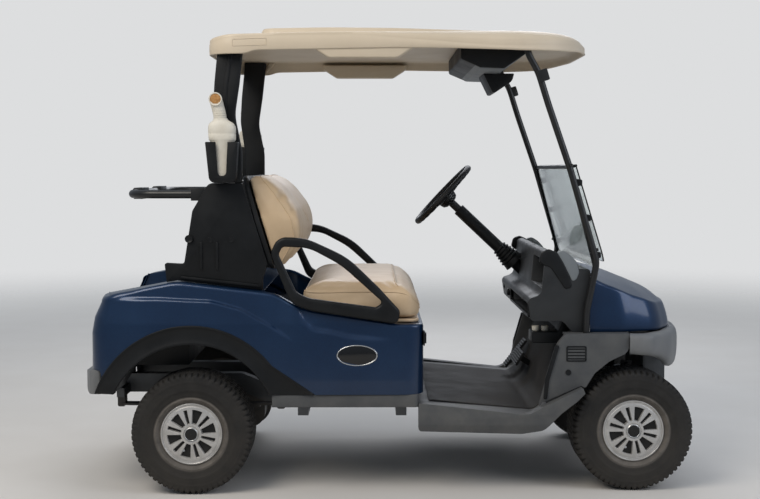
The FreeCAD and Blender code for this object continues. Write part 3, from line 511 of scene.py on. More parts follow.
def dress(
        piece: Object, material: Material, slot: str, replaces: Sequence[str] = (),
        body: str = "chassis") -> Object:
    """Give a piece its finish and tie it to its body.

    Args:
        piece: Finished mesh.
        material: Its material.
        slot: Material slot of the record; not used.
        replaces: CAD nodes that it stands for.
        body: Body that it moves with.

    Returns:
        The same piece.
    """
    piece.data.materials.clear()
    piece.data.materials.append(material)
    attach(piece, body)
    if replaces:
        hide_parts(*replaces)
    log.info("%s: %d faces on %s", piece.name, len(piece.data.polygons), body)
    return piece


# Finishes

def linear(hex_colour: str) -> tuple[float, float, float, float]:
    """Linear colour of an sRGB hex value."""
    values = [int(hex_colour[i:i + 2], 16) / 255 for i in (1, 3, 5)]
    red, green, blue = (v / 12.92 if v <= 0.04045 else ((v + 0.055) / 1.055) ** 2.4 for v in values)
    return red, green, blue, 1


def empty_tree(owner: Material | bpy.types.World) -> Tree:
    """Node tree of a material or world, with nothing in it."""
    owner.use_nodes = True
    owner.node_tree.nodes.clear()
    return owner.node_tree


def add_node(
        tree: Tree, kind: str, inputs: dict[str | int, object] | None = None, **settings: object) -> Node:
    """Add a shader node.

    Args:
        tree: Node tree of the material.
        kind: The node's type.
        inputs: Values, sockets or nodes to link from their first output, by socket name or number.
        settings: The node's own settings.

    Returns:
        The new node.
    """
    node = tree.nodes.new("ShaderNode" + kind)
    for key, value in settings.items():
        setattr(node, key, value)
    for key, value in (inputs or {}).items():
        socket = node.inputs[key]
        if isinstance(value, Node):
            value = value.outputs[0]
        if isinstance(value, Socket):
            tree.links.new(value, socket)
        else:
            socket.default_value = value
    return node


@dataclass(frozen=True)
class Finish:
    """A surface with a grain, uneven gloss, dust near the ground and worn edges."""

    name: str
    colour: str
    worn: str
    roughness: float = 0.5
    grain_mm: float = 1.6
    grain_depth: float = 0.12
    patch_mm: float = 90.0
    patch_share: float = 0.25
    edge_share: float = 0.35
    dust: float = 0.0
    dust_top: float = 0.45
    edge_mm: float = 1.6
    roughness_spread: float = 0.08
    metallic: float = 0.0
    ior: float = 1.46
    coat: float = 0.0
    specular: float = 0.5
    detail: float = 2.0
    relief_height: float = 0.0006

    def build(self) -> Material:
        """Make the material."""
        material = bpy.data.materials.new(self.name)
        tree = empty_tree(material)
        place = add_node(tree, "TexCoord").outputs["Object"]
        patches = add_node(tree, "TexNoise", {
            "Vector": place, "Scale": 1000 / self.patch_mm, "Detail": 6, "Roughness": 0.6})
        share = add_node(tree, "MapRange", {0: patches, 1: 0.35, 2: 0.7, 3: 0, 4: self.patch_share})
        colour = self.mixed(tree, share.outputs[0], linear(self.colour), linear(self.worn))
        soft = add_node(tree, "Bevel", {"Radius": self.edge_mm * MM}, samples=4)
        sharp = add_node(tree, "NewGeometry").outputs["Normal"]
        turn = add_node(tree, "VectorMath", {0: soft, 1: sharp}, operation="DOT_PRODUCT")
        edge = add_node(tree, "MapRange", {
            0: turn.outputs["Value"], 1: 0.995, 2: 0.86, 3: 0, 4: self.edge_share})
        scuffs = add_node(tree, "Math", {0: edge, 1: patches}, operation="MULTIPLY")
        colour = self.mixed(tree, scuffs.outputs[0], colour, linear(self.worn))
        if self.dust > 0:
            height = add_node(tree, "SeparateXYZ", {0: place}).outputs["Z"]
            low = add_node(tree, "MapRange", {0: height, 1: self.dust_top, 2: 0.04, 3: 0, 4: self.dust})
            blotch = add_node(tree, "Math", {0: low, 1: patches}, operation="MULTIPLY")
            colour = self.mixed(tree, blotch.outputs[0], colour, linear("#7C756B"))
        gloss = add_node(tree, "MapRange", {
            0: patches, 1: 0.3, 2: 0.7, 3: self.roughness - self.roughness_spread,
            4: self.roughness + self.roughness_spread})
        shader = add_node(tree, "BsdfPrincipled", {
            "Base Color": colour, "Roughness": gloss, "Normal": self.relief(tree, place, soft.outputs[0]),
            "Metallic": self.metallic, "IOR": self.ior, "Coat Weight": self.coat, "Coat Roughness": 0.05,
            "Specular IOR Level": self.specular})
        add_node(tree, "OutputMaterial", {"Surface": shader})
        self.refine(tree, shader, place)
        return material

    @staticmethod
    def mixed(tree: Tree, share: object, first: object, second: object) -> Socket:
        """Colour between two, by a share."""
        node = add_node(tree, "Mix", {0: share, 6: first, 7: second}, data_type="RGBA")
        return node.outputs[2]

    def relief(self, tree: Tree, place: object, normal: object) -> Socket:
        """Fine moulded grain over the softened edges."""
        grain = add_node(tree, "TexNoise", {
            "Vector": place, "Scale": 1000 / self.grain_mm, "Detail": self.detail})
        bump = add_node(tree, "Bump", {
            "Strength": self.grain_depth, "Distance": self.relief_height, "Height": grain, "Normal": normal})
        return bump.outputs[0]

    def refine(self, tree: Tree, shader: Node, place: object) -> None:
        """Further nodes of a special finish; a plain one has none."""


@dataclass(frozen=True)
class MetallicPaint(Finish):
    """Blue metallic base coat under clear lacquer: fine flakes, a slight ripple and deep reflections."""

    # long soft ripple of sprayed lacquer over moulded plastic
    detail: float = 1.0
    relief_height: float = 0.0008

    def refine(self, tree: Tree, shader: Node, place: object) -> None:
        """Flakes: specks about 1.5 mm across, larger than real ones so that they show."""
        flakes = add_node(tree, "TexVoronoi", {"Vector": place, "Scale": 700})
        spark = add_node(tree, "MapRange", {0: flakes.outputs["Distance"], 1: 0, 2: 0.5, 3: 0.3, 4: 0})
        base = shader.inputs["Base Color"].links[0].from_socket
        colour = self.mixed(tree, spark.outputs[0], base, linear("#2C6090"))
        tree.links.new(colour, shader.inputs["Base Color"])
        shader.inputs["Coat Roughness"].default_value = 0.12


@dataclass(frozen=True)
class Vinyl(Finish):
    """Coated fabric: pebbled grain with fine creases and a faint sheen."""

    def relief(self, tree: Tree, place: object, normal: object) -> Socket:
        """Pebbles about 3 mm across, drawn coarser than real so that they show, and soft wrinkles."""
        pebbles = add_node(
            tree, "TexVoronoi", {"Vector": place, "Scale": 1000 / self.grain_mm}, feature="DISTANCE_TO_EDGE")
        wrinkles = add_node(tree, "TexNoise", {"Vector": place, "Scale": 34, "Detail": 4, "Distortion": 1.2})
        fine = add_node(tree, "Bump", {
            "Strength": self.grain_depth, "Distance": 0.0006, "Height": pebbles.outputs["Distance"],
            "Normal": normal})
        broad = add_node(tree, "Bump", {
            "Strength": 0.16, "Distance": 0.003, "Height": wrinkles, "Normal": fine})
        return broad.outputs[0]

    def refine(self, tree: Tree, shader: Node, place: object) -> None:
        """A faint sheen of the vinyl's top coat."""
        shader.inputs["Sheen Weight"].default_value = 0.08
        shader.inputs["Sheen Roughness"].default_value = 0.5


@dataclass(frozen=True)
class Clear(Finish):
    """Clear acrylic or glass with a faint tint."""

    transmission: float = 1.0

    def build(self) -> Material:
        """Make the material."""
        material = bpy.data.materials.new(self.name)
        material.use_nodes = True
        tree = material.node_tree
        shader = tree.nodes["Principled BSDF"]
        place = add_node(tree, "TexCoord").outputs["Object"]
        haze = add_node(tree, "TexNoise", {"Vector": place, "Scale": 1000 / self.patch_mm, "Detail": 5})
        gloss = add_node(tree, "MapRange", {
            0: haze, 1: 0.35, 2: 0.75, 3: self.roughness, 4: self.roughness + self.roughness_spread})
        tree.links.new(gloss.outputs[0], shader.inputs["Roughness"])
        shader.inputs["Base Color"].default_value = linear(self.colour)
        shader.inputs["IOR"].default_value = self.ior
        shader.inputs["Transmission Weight"].default_value = self.transmission
        return material


@dataclass(frozen=True)
class TyreRubber(Finish):
    """Rubber worn brown-grey: dust in the tread and on the bulge of the sidewalls."""

    def refine(self, tree: Tree, shader: Node, place: object) -> None:
        """Dry clay dust in cloudy patches."""
        clouds = add_node(tree, "TexNoise", {"Vector": place, "Scale": 16, "Detail": 8, "Roughness": 0.7})
        share = add_node(tree, "MapRange", {0: clouds, 1: 0.42, 2: 0.72, 3: 0.04, 4: 0.4})
        base = shader.inputs["Base Color"].links[0].from_socket
        dusty = self.mixed(tree, share.outputs[0], base, linear("#35322E"))
        middle = (REAR_AXLE + FRONT_AXLE) / 2 * MM
        offset = add_node(
            tree, "VectorMath", {0: place, 1: (middle, 0, AXLE_HEIGHT * MM)}, operation="SUBTRACT")
        folded = add_node(tree, "VectorMath", {0: offset}, operation="ABSOLUTE")
        to_hub = add_node(
            tree, "VectorMath", {0: folded, 1: ((FRONT_AXLE - REAR_AXLE) / 2 * MM, 0, 0)},
            operation="SUBTRACT")
        flat = add_node(tree, "VectorMath", {0: offset, 1: (0, 0, 1)}, operation="MULTIPLY")
        across = add_node(tree, "VectorMath", {0: to_hub, 1: (1, 0, 0)}, operation="MULTIPLY")
        spot = add_node(tree, "VectorMath", {0: across, 1: flat}, operation="ADD")
        reach = add_node(tree, "VectorMath", {0: spot}, operation="LENGTH")
        bead = add_node(tree, "MapRange", {0: reach.outputs["Value"], 1: 0.136, 2: 0.142, 3: 0.62, 4: 0})
        patchy = add_node(tree, "MapRange", {0: clouds, 1: 0.3, 2: 0.6, 3: 0.45, 4: 1})
        ring = add_node(tree, "Math", {0: bead, 1: patchy}, operation="MULTIPLY")
        tree.links.new(
            self.mixed(tree, ring.outputs[0], dusty, linear("#77716A")), shader.inputs["Base Color"])


class Finishes:
    """All the finishes of the cart, each made once."""

    def __init__(self) -> None:
        """Make every material."""
        # columns: name, colour, worn colour, roughness, grain in mm and its depth, patches in mm and
        # their share, share of worn edges, dust

        # Lacquered moulding: dark blue that brightens where it faces the light
        self.paint = MetallicPaint(
            "navy_metallic_lacquer", "#032140", "#0A3256", 0.36, 26, 0.05, 300, 0.3, 0.15, 0.12,
            roughness_spread=0.04, metallic=0.5, coat=0.6, specular=0.3, dust_top=0.7).build()
        # Moulded polypropylene: warm beige, satin, a little chalky from the sun
        self.roof = Finish(
            "beige_moulded_polypropylene", "#CDBFA9", "#B5A68F", 0.46, 2.2, 0.06, 260, 0.35, 0.12).build()
        self.vinyl = Vinyl(
            "tan_seat_vinyl", "#C4AC8C", "#AA9172", 0.44, 3, 0.22, 120, 0.4, 0.1,
            roughness_spread=0.07).build()
        self.charcoal = Finish(
            "charcoal_grained_plastic", "#46484A", "#666663", 0.6, 1.8, 0.28, 80, 0.4, 0.4, 0.3,
            specular=0.4).build()
        self.bumper = Finish(
            "grey_bumper_plastic", "#66686A", "#7D7E7C", 0.55, 1.8, 0.25, 80, 0.4, 0.35, 0.25).build()
        self.trim = Finish(
            "black_grained_plastic", "#0E1012", "#25282B", 0.46, 1.8, 0.26, 110, 0.25, 0.4, 0.16,
            specular=0.28).build()
        self.dash = Finish(
            "dark_grey_moulded_plastic", "#1D1F21", "#36393B", 0.48, 1.8, 0.22, 110, 0.3, 0.35, 0.1).build()
        self.pale = Finish(
            "pale_grey_moulded_plastic", "#71777B", "#5F6467", 0.5, 1.8, 0.15, 90, 0.35).build()
        self.tyre = TyreRubber(
            "worn_tyre_rubber", "#0E0E0E", "#1F1D1B", 0.82, 3, 0.3, 60, 0.4, 0.3, 0.2).build()
        self.silver = Finish(
            "silver_painted_wheel", "#C6C5C3", "#94928E", 0.34, 1.2, 0.04, 40, 0.45, 0.1, 0.4,
            metallic=0.5).build()
        self.aluminium = Finish(
            "extruded_aluminium", "#55585B", "#444648", 0.45, 1, 0.08, 90, 0.5, 0.35, 0.5,
            metallic=0.9).build()
        self.steel = Finish(
            "black_painted_steel", "#1B1C1E", "#3D3A36", 0.5, 4, 0.1, 50, 0.6, 0.5, 0.6).build()
        self.motor = Finish(
            "black_enamelled_case", "#202124", "#3C3B3A", 0.42, 3, 0.12, 90, 0.5, 0.35, 0.5).build()
        self.battery = Finish(
            "black_battery_case", "#232426", "#3A3A39", 0.55, 1.6, 0.12, 90, 0.4, 0.35, 0.3).build()
        # Powder coat: slightly pebbled black with a soft gloss
        self.powder = Finish("black_powder_coat", "#141516", "#2E2F30", 0.36, 2.4, 0.1, 90, 0.2, 0.4).build()
        self.grip = Finish("black_grip_plastic", "#0E0F10", "#1D1F21", 0.52, 2.4, 0.05, 90, 0.15, 0).build()
        self.pane = Clear(
            "clear_acrylic_pane", "#F2F8F8", "#F2F8F8", 0.02, 1.6, 0.12, 70, roughness_spread=0.05,
            ior=1.49).build()
        self.milky = Finish("milky_polythene", "#D8D4C8", "#BFB7A6", 0.5, 8, 0.12, 40, 0.5, ior=1.51).build()
        self.sand = Finish("divot_sand", "#B98A55", "#8A6238", 0.95, 3, 0.9, 6, 0.8).build()
        self.screen = Finish(
            "screen_glass", "#0A0B0D", "#101215", 0.08, 1.6, 0, 90, 0.1, roughness_spread=0.03,
            ior=1.52).build()
        self.chrome = Finish(
            "bright_plated_metal", "#C8CACC", "#A9ABAC", 0.18, 1.6, 0, 90, 0.3, metallic=1).build()
        self.mat = Finish(
            "ribbed_rubber_mat", "#0B0E12", "#1B1F25", 0.7, 2.4, 0.3, 120, 0.4, 0.35, 0.3, specular=0.25,
            dust_top=0.9).build()


# Studio

# columns: place, aim, size, strength in watts, colour
LAMPS = (
    ((-2.6, -3.2, 4.4), (0, 0, 0.9), 3, 170, "#FFF6EA"),
    ((4.2, -2.6, 2.8), (0.2, 0, 0.8), 2.6, 70, "#F1F5FF"), ((0.5, 3.8, 3.6), (0, 0, 0.9), 3, 90, "#F7F9FF"))


@dataclass
class Studio:
    """Pale floor, soft lamps and the camera at the photograph's angle."""

    camera_place: Sequence[float] = (-0.065, -5.2, 1.218)
    lens: float = 59.1
    pitch: float = 2.87
    yaw: float = -0.32
    shift: float = -0.0237

    def build(self) -> None:
        """Set up all of it."""
        self.place_camera()
        self.lay_floor()
        self.light_world()
        for index, lamp in enumerate(LAMPS):
            self.hang_lamp(index, *lamp)

    def place_camera(self) -> None:
        """Camera as solved from the photograph."""
        data = bpy.data.cameras.new("camera")
        data.lens = self.lens
        data.sensor_width = 36
        data.shift_y = self.shift
        camera = added("camera", data)
        camera.location = self.camera_place
        camera.rotation_euler = (radians(90 - self.pitch), 0, radians(self.yaw))
        bpy.context.scene.camera = camera

    def hang_lamp(
            self, index: int, place: Sequence[float], aim: Sequence[float], size: float, watts: float,
            colour: str) -> None:
        """Square soft box at a place, turned to its aim."""
        data = bpy.data.lights.new(f"soft_box_{index}", "AREA")
        data.size = size
        data.energy = watts
        data.color = linear(colour)[:3]
        lamp = added(f"soft_box_{index}", data)
        lamp.location = place
        lamp.rotation_euler = (Vector(aim) - Vector(place)).to_track_quat("-Z", "Y").to_euler()

    def lay_floor(self) -> None:
        """Wide floor that fades into the backdrop's colour far from the cart."""
        clear()
        bpy.ops.mesh.primitive_grid_add(x_subdivisions=40, y_subdivisions=40, size=80)
        floor = bpy.context.object
        floor.name = "studio_floor"
        material = bpy.data.materials.new("pale_floor")
        tree = empty_tree(material)
        place = add_node(tree, "TexCoord").outputs["Object"]
        reach = add_node(tree, "VectorMath", {0: place}, operation="LENGTH").outputs["Value"]
        far = add_node(tree, "MapRange", {0: reach, 1: 3, 2: 11, 3: 0, 4: 1}, interpolation_type="SMOOTHSTEP")
        clouds = add_node(tree, "TexNoise", {"Vector": place, "Scale": 3, "Detail": 4})
        tone = add_node(
            tree, "Mix", {0: clouds, 6: linear("#CBC7C1"), 7: linear("#D3D0CB")}, data_type="RGBA")
        matte = add_node(tree, "BsdfPrincipled", {
            "Base Color": tone.outputs[2], "Roughness": 0.75, "Specular IOR Level": 0.25})
        unseen = add_node(tree, "BsdfTransparent")
        mix = add_node(tree, "MixShader", {0: far, 1: matte, 2: unseen})
        add_node(tree, "OutputMaterial", {"Surface": mix})
        floor.data.materials.append(material)

    def light_world(self) -> None:
        """Even light for the cart; the backdrop's own tone where it is seen directly or through glass."""
        world = bpy.data.worlds.new("studio")
        bpy.context.scene.world = world
        tree = empty_tree(world)
        rays = add_node(tree, "LightPath")
        seen = add_node(
            tree, "Math", {0: rays.outputs["Is Camera Ray"], 1: rays.outputs["Is Transmission Ray"]},
            operation="MAXIMUM")
        ground = add_node(tree, "Background", {"Color": linear("#DDDEDF"), "Strength": 1})
        place = add_node(tree, "TexCoord").outputs["Generated"]
        height = add_node(tree, "SeparateXYZ", {0: place}).outputs["Z"]
        sky = add_node(tree, "MapRange", {0: height, 1: -0.1, 2: 0.7, 3: 0, 4: 1})
        shade = add_node(tree, "Mix", {0: sky, 6: linear("#A3A9B1"), 7: linear("#D3DDEA")}, data_type="RGBA")
        fill = add_node(tree, "Background", {"Color": shade.outputs[2], "Strength": 0.62})
        mix = add_node(tree, "MixShader", {0: seen, 1: fill, 2: ground})
        add_node(tree, "OutputWorld", {"Surface": mix})


# Sub-assemblies

@dataclass
class Assembly:
    """Sub-assembly with the finishes and the CAD nodes that it draws on."""

    finishes: Finishes
    nodes: dict[str, Object]

    def refine(
            self, node: str, name: str, width: float, material: Material, slot: str, segments: int = 3,
            body: str = "chassis") -> None:
        """Dress a copy of a CAD node with its edges rounded, in the node's place.

        Args:
            node: CAD node.
            name: Name of the new piece.
            width: Width of the rounded edges in millimetres.
            material: Its material.
            slot: Material slot of the record.
            segments: Faces across each rounded edge.
            body: Body that it moves with.
        """
        dress(refined(self.nodes[node], name, width, segments), material, slot, [node], body)


@dataclass
class CarriedNodes(Assembly):
    """CAD nodes whose own shape shows, each with its finish."""

    def build(self) -> None:
        """Give every node a material."""
        f = self.finishes
        table = {
            f.aluminium: ["frame"],
            f.steel: [
                "front_suspension", "rear_axle", "rear_springs", "knuckle_left", "knuckle_right",
                "steering_rack", "rack_housing"],
            f.motor: ["motor"], f.battery: ["batteries"], f.trim: ["windshield_rails"], f.powder: ["pedals"],
            f.pane: ["windshield"]}
        for material, names in table.items():
            for name in names:
                node = self.nodes[name]
                node.data.materials.clear()
                node.data.materials.append(material)
                log.info("%s keeps its CAD shape as %s", name, material.name)


@dataclass
class Roof(Assembly):
    """Moulded roof with its grips, console, screen and the clamps on the front struts."""

    rear: float = REAR_AXLE + 60.0
    front: float = FRONT_AXLE - 136.0
    half_width: float = 552.0
    ceiling: float = 1700.0
    wall: float = 13.0
    panel_half: float = 376.0
    panel_corner: float = 60.0
    # columns: forward in the frame's own axes; height, or for the last two width and drop of the edge
    lip: tuple[Pair, ...] = (
        (-539, 1645), (-509, 1658), (-233, 1663), (35, 1668), (268, 1665), (502, 1659), (680, 1660),
        (784, 1671))
    rim: tuple[Pair, ...] = (
        (-684, 1704), (-634, 1717), (-313, 1725), (35, 1729), (243, 1734), (406, 1739), (526, 1740),
        (640, 1736), (720, 1727), (784, 1712))
    crown: tuple[Pair, ...] = (
        (-494, 1750), (-228, 1755), (38, 1752), (190, 1747), (406, 1740), (526, 1740), (640, 1736),
        (720, 1727), (784, 1712))
    roll: tuple[Pair, ...] = ((-684, 26), (-624, 11), (-104, 11), (406, 96), (590, 96), (784, 70))
    drop: tuple[Pair, ...] = ((-684, 20), (-624, 9), (-104, 9), (406, 58), (590, 50), (784, 25))

    def build(self) -> None:
        """Build all of it."""
        f = self.finishes
        shell = dress(self.shell(), f.roof, "roof_plastic", ["canopy"])
        dress(self.grips(), f.roof, "roof_plastic")
        dress(self.gussets(), f.roof, "roof_plastic")
        dress(self.name_frame(shell), f.roof, "roof_plastic")
        dress(self.struts(), f.powder, "strut_paint", ["front_struts"])
        dress(self.console(), f.trim, "trim_plastic", ["overhead_console"])
        dress(self.console_face(), f.pale, "dash_plastic")
        dress(self.screen_head(), f.trim, "trim_plastic", ["display"])
        dress(self.screen(), f.screen, "trim_plastic")
        dress(self.clamps(), f.powder, "strut_paint")

    def plan(self) -> list[Pair]:
        """Outer edge seen from above, from the middle of the rear to the middle of the front, in metres."""
        half = [
            (self.rear, -self.half_width, 110), (500, -self.half_width, 800), (710, -462, 260),
            (self.front, -200, 260)]
        whole = half + [(u, -v, r) for u, v, r in reversed(half)]
        points = [p for p in rounded(whole, True, 6) if p[1] <= 0]
        ends = [(self.rear * MM, 0)] + points + [(self.front * MM, 0)]
        return resampled(ends, 0.014)

    def lip_height(self, x: float) -> float:
        """Lower edge along the roof, lifting towards the nose."""
        return eased(self.lip, x, 16)

    def off_panel(self, here: Vector) -> float:
        """Distance of a place outside the raised middle panel, negative inside."""
        across = abs(here.y) - self.panel_half
        along = max(REAR_AXLE + 310 - here.x, here.x - FRONT_AXLE + 440)
        return hypot(max(0, across), max(0, along)) + min(0, max(across, along)) - self.panel_corner

    def top_height(self, x: float, y: float, inward: float) -> float:
        """Upper surface: a flat rim that rolls down at the edge, with a raised panel in the middle."""
        rim = eased(self.rim, x, 45)
        crown = eased(self.crown, x, 60) + 3 * (1 - (y / self.half_width) ** 2)
        roll, drop = eased(self.roll, x, 60), eased(self.drop, x, 60)
        share = min(1, inward / roll)
        base = rim - drop * (1 - math.sqrt(max(0, 1 - (1 - share) ** 2)))
        return base + (crown - rim) * smooth_step(-11, 11, -self.off_panel(Vector((x, y))))

    def panel_share(self, edge: Vector, spine: Vector) -> float:
        """Share of the way in at which a ring crosses the raised panel's outline."""
        low, high = 0, 1
        for _ in range(24):
            half = (low + high) / 2
            low, high = (half, high) if self.off_panel(edge.lerp(spine, half)) > 0 else (low, half)
        return high

    def shell(self) -> Object:
        """Closed shell: top, rolled edge, side, lip and ceiling, in rings round the roof."""
        outline = self.plan()
        middle = (self.rear + self.front) / 2
        edges = [Vector((u, v)) / MM for u, v in outline]
        spines = [Vector((middle + 0.55 * (edge.x - middle), 0)) for edge in edges]
        panels = [self.panel_share(edge, spine) for edge, spine in zip(edges, spines)]
        # columns: distance inward, distance from the raised panel's outline, share of the panel
        top_rows = [(None, None, s) for s in (1, 0.8, 0.6, 0.4, 0.2, 0.08)]
        top_rows += [(None, d, None) for d in (13, 9, 5.5, 2, -2, -5.5, -9, -13)]
        top_rows += [(d, None, None) for d in (86, 72, 60, 49, 39, 30, 22, 15, 10.5, 7.4, 5, 3.2)]
        # columns: distance inward, share of the side's height
        side_rows = [
            (2.6, 0.7), (2.6, 0.12), (0.2, -0.12), (0, -0.5), (0.8, 0.06), (1.8, 0.02), (4, 0), (9, 0),
            (11.6, 0.05), (self.wall, 0.14), (self.wall + 4, 0.6), (self.wall + 12, 0.93),
            (self.wall + 26, 1)]
        under_rows = [0.16, 0.3, 0.5, 0.75, 1]

        def place(row: int, column: int) -> Vector:
            """Point of one ring."""
            edge, spine, panel = edges[column], spines[column], panels[column]
            u, v = edge
            run = (spine - edge).length
            if row < len(top_rows):
                inward, off, share = top_rows[row]
                if off is not None:
                    share = panel + off / run
                elif share is not None:
                    share = panel + 16 / run + (1 - panel - 16 / run) * share
                else:
                    share = min(inward / run, panel - 15 / run - 0.0002 * (90 - inward))
                here = edge.lerp(spine, share)
                z = self.top_height(here.x, here.y, share * run)
                return metres(here.x, here.y, z)
            low = self.lip_height(u)
            row -= len(top_rows)
            if row < len(side_rows):
                inward, rise = side_rows[row]
                here = edge.lerp(spine, inward / run)
                outer = self.top_height(u, v, 0)
                if row < 4:
                    crease = interpolate([(-90, 0.94), (200, 0.8), (400, 0.5), (600, 0.3)], u)
                    rise = crease + rise * ((1 - crease) if rise > 0 else crease)
                roof = self.ceiling if inward >= self.wall else outer
                if inward >= self.wall:
                    roof = min(self.ceiling, self.top_height(here.x, here.y, inward) - 7)
                return metres(here.x, here.y, low + (roof - low) * rise)
            share = under_rows[row - len(side_rows)]
            here = edge.lerp(spine, share)
            z = min(self.ceiling, self.top_height(here.x, here.y, share * run) - 8)
            return metres(here.x, here.y, z)

        rows = len(top_rows) + len(side_rows) + len(under_rows)
        piece = skin("roof_shell", rows, len(outline), place)
        paired(piece)
        outward(piece, 0.00005)
        return smooth(piece, 50)

    def grips(self) -> Object:
        """Hand holds moulded under both side lips."""
        middle = REAR_AXLE + 642
        side = [
            (-192, 1688, 0), (-184, 1666, 30), (-128, 1630, 26), (128, 1630, 26), (184, 1666, 30),
            (192, 1688, 0)]
        piece = slab("roof_grips", [(u + middle, v, r) for u, v, r in side], -546, -488)
        return paired(soften(piece, 7, 3, 50))

    def gussets(self) -> Object:
        """Slanting ribs inside the rear corners of the roof."""
        pieces = []
        for u in (0, 30):
            outline = at_rear([
                (u + 176, 1701, 0), (u + 160, 1660, 3), (u + 166, 1657, 3), (u + 204, 1701, 0)])
            pieces.append(slab("roof_gussets", outline, -536, -512))
        return paired(soften(joined("roof_gussets", pieces), 1.5))

    def name_frame(self, shell: Object) -> Object:
        """Raised border of the bare field near the rear end of both sides."""
        points = []
        border = [(REAR_AXLE + u, z) for u, z in (
            (152, 1671), (284, 1675), (284, 1703), (152, 1699), (152, 1671))]
        for u, z in resampled(border, 7)[:-1]:
            spot, normal = shell.closest_point_on_mesh(metres(u, -620, z))[1:3]
            points.append(spot + normal * 0.0002)
        return paired(bar("roof_blank_field", points, 1.3, closed=True, order=2, sides=2))

    def struts(self) -> Object:
        """Bent tubes from the fenders past the windshield to the roof."""
        path = at_front([
            (-177, 560, 0), (-176, 679, 120), (-139, 866, 90), (-240, 1210, 500), (-327, 1462, 900),
            (-364, 1580, 160), (-404, 1650, 60), (-410, self.ceiling + 6, 0)])
        points = [Vector((u, -0.5, v)) for u, v in resampled(rounded(path, False, 4), 0.022)]
        return paired(bar("bent_struts", points, 12.7, order=3, sides=5))

    def console(self) -> Object:
        """Console under the ceiling, with a seam and softened ends."""
        side = at_front([
            (-648, self.ceiling + 1, 0), (-648, 1640, 12), (-572, 1608, 20), (-480, 1604, 20),
            (-392, 1664, 16), (-392, self.ceiling + 1, 0)])
        return soften(slab("console_body", side, -390, 390, 8), 6, 3, 50)

    def console_face(self) -> Object:
        """Pale lower cover of the console, set in a dark surround."""
        side = at_front([
            (-640, 1641.5, 4), (-572, 1606, 16), (-482, 1602.6, 16), (-420, 1643.5, 8), (-424, 1647, 4),
            (-486, 1609, 14), (-572, 1613, 14), (-637, 1646, 4)])
        return soften(slab("console_cover", side, -376, 376, 8), 1.2)

    def screen_head(self) -> Object:
        """Housing of the hanging screen, facing the seat."""
        side = at_front([
            (-538, 1605, 0), (-500, 1528, 8), (-488, 1528, 10), (-420, 1574, 34), (-412, 1605, 0)])
        return soften(slab("screen_head", side, -120, 120, 8), 5, 3, 50)

    def screen(self) -> Object:
        """Screen glass set a little proud of its housing."""
        side = at_front([(-532.2, 1596, 1), (-504.2, 1539, 1), (-501.6, 1540.4, 1), (-529.6, 1597.2, 1)])
        return soften(slab("screen_glass", side, -104, 104), 0.6)

    def clamps(self) -> Object:
        """Clamps near the top of the struts and the screws that hold the pane's channels."""
        block = slab("strut_clamps", box(-20, 20, -22, 22, 5), -519, -494)
        block.data.transform(
            Matrix.Translation(((FRONT_AXLE - 348) * MM, 0, 1.568)) @ Matrix.Rotation(-0.3, 4, "Y"))
        pieces = [block]
        # columns: forward, across, height, way that the head faces
        for u, v, z, way in (
                (-240, -511.5, 1232, (0, -1, 0)), (-158, -500, 898, (-1, 0, 0.2)),
                (-158, -500, 819, (-1, 0, 0)), (-142, -500, 913, (1, 0, 0.2))):
            pieces.append(knob("screw", metres(FRONT_AXLE + u, v, z), Vector(way), 6, 9, 16))
        return paired(soften(joined("strut_clamps", pieces), 2, 2, 50))


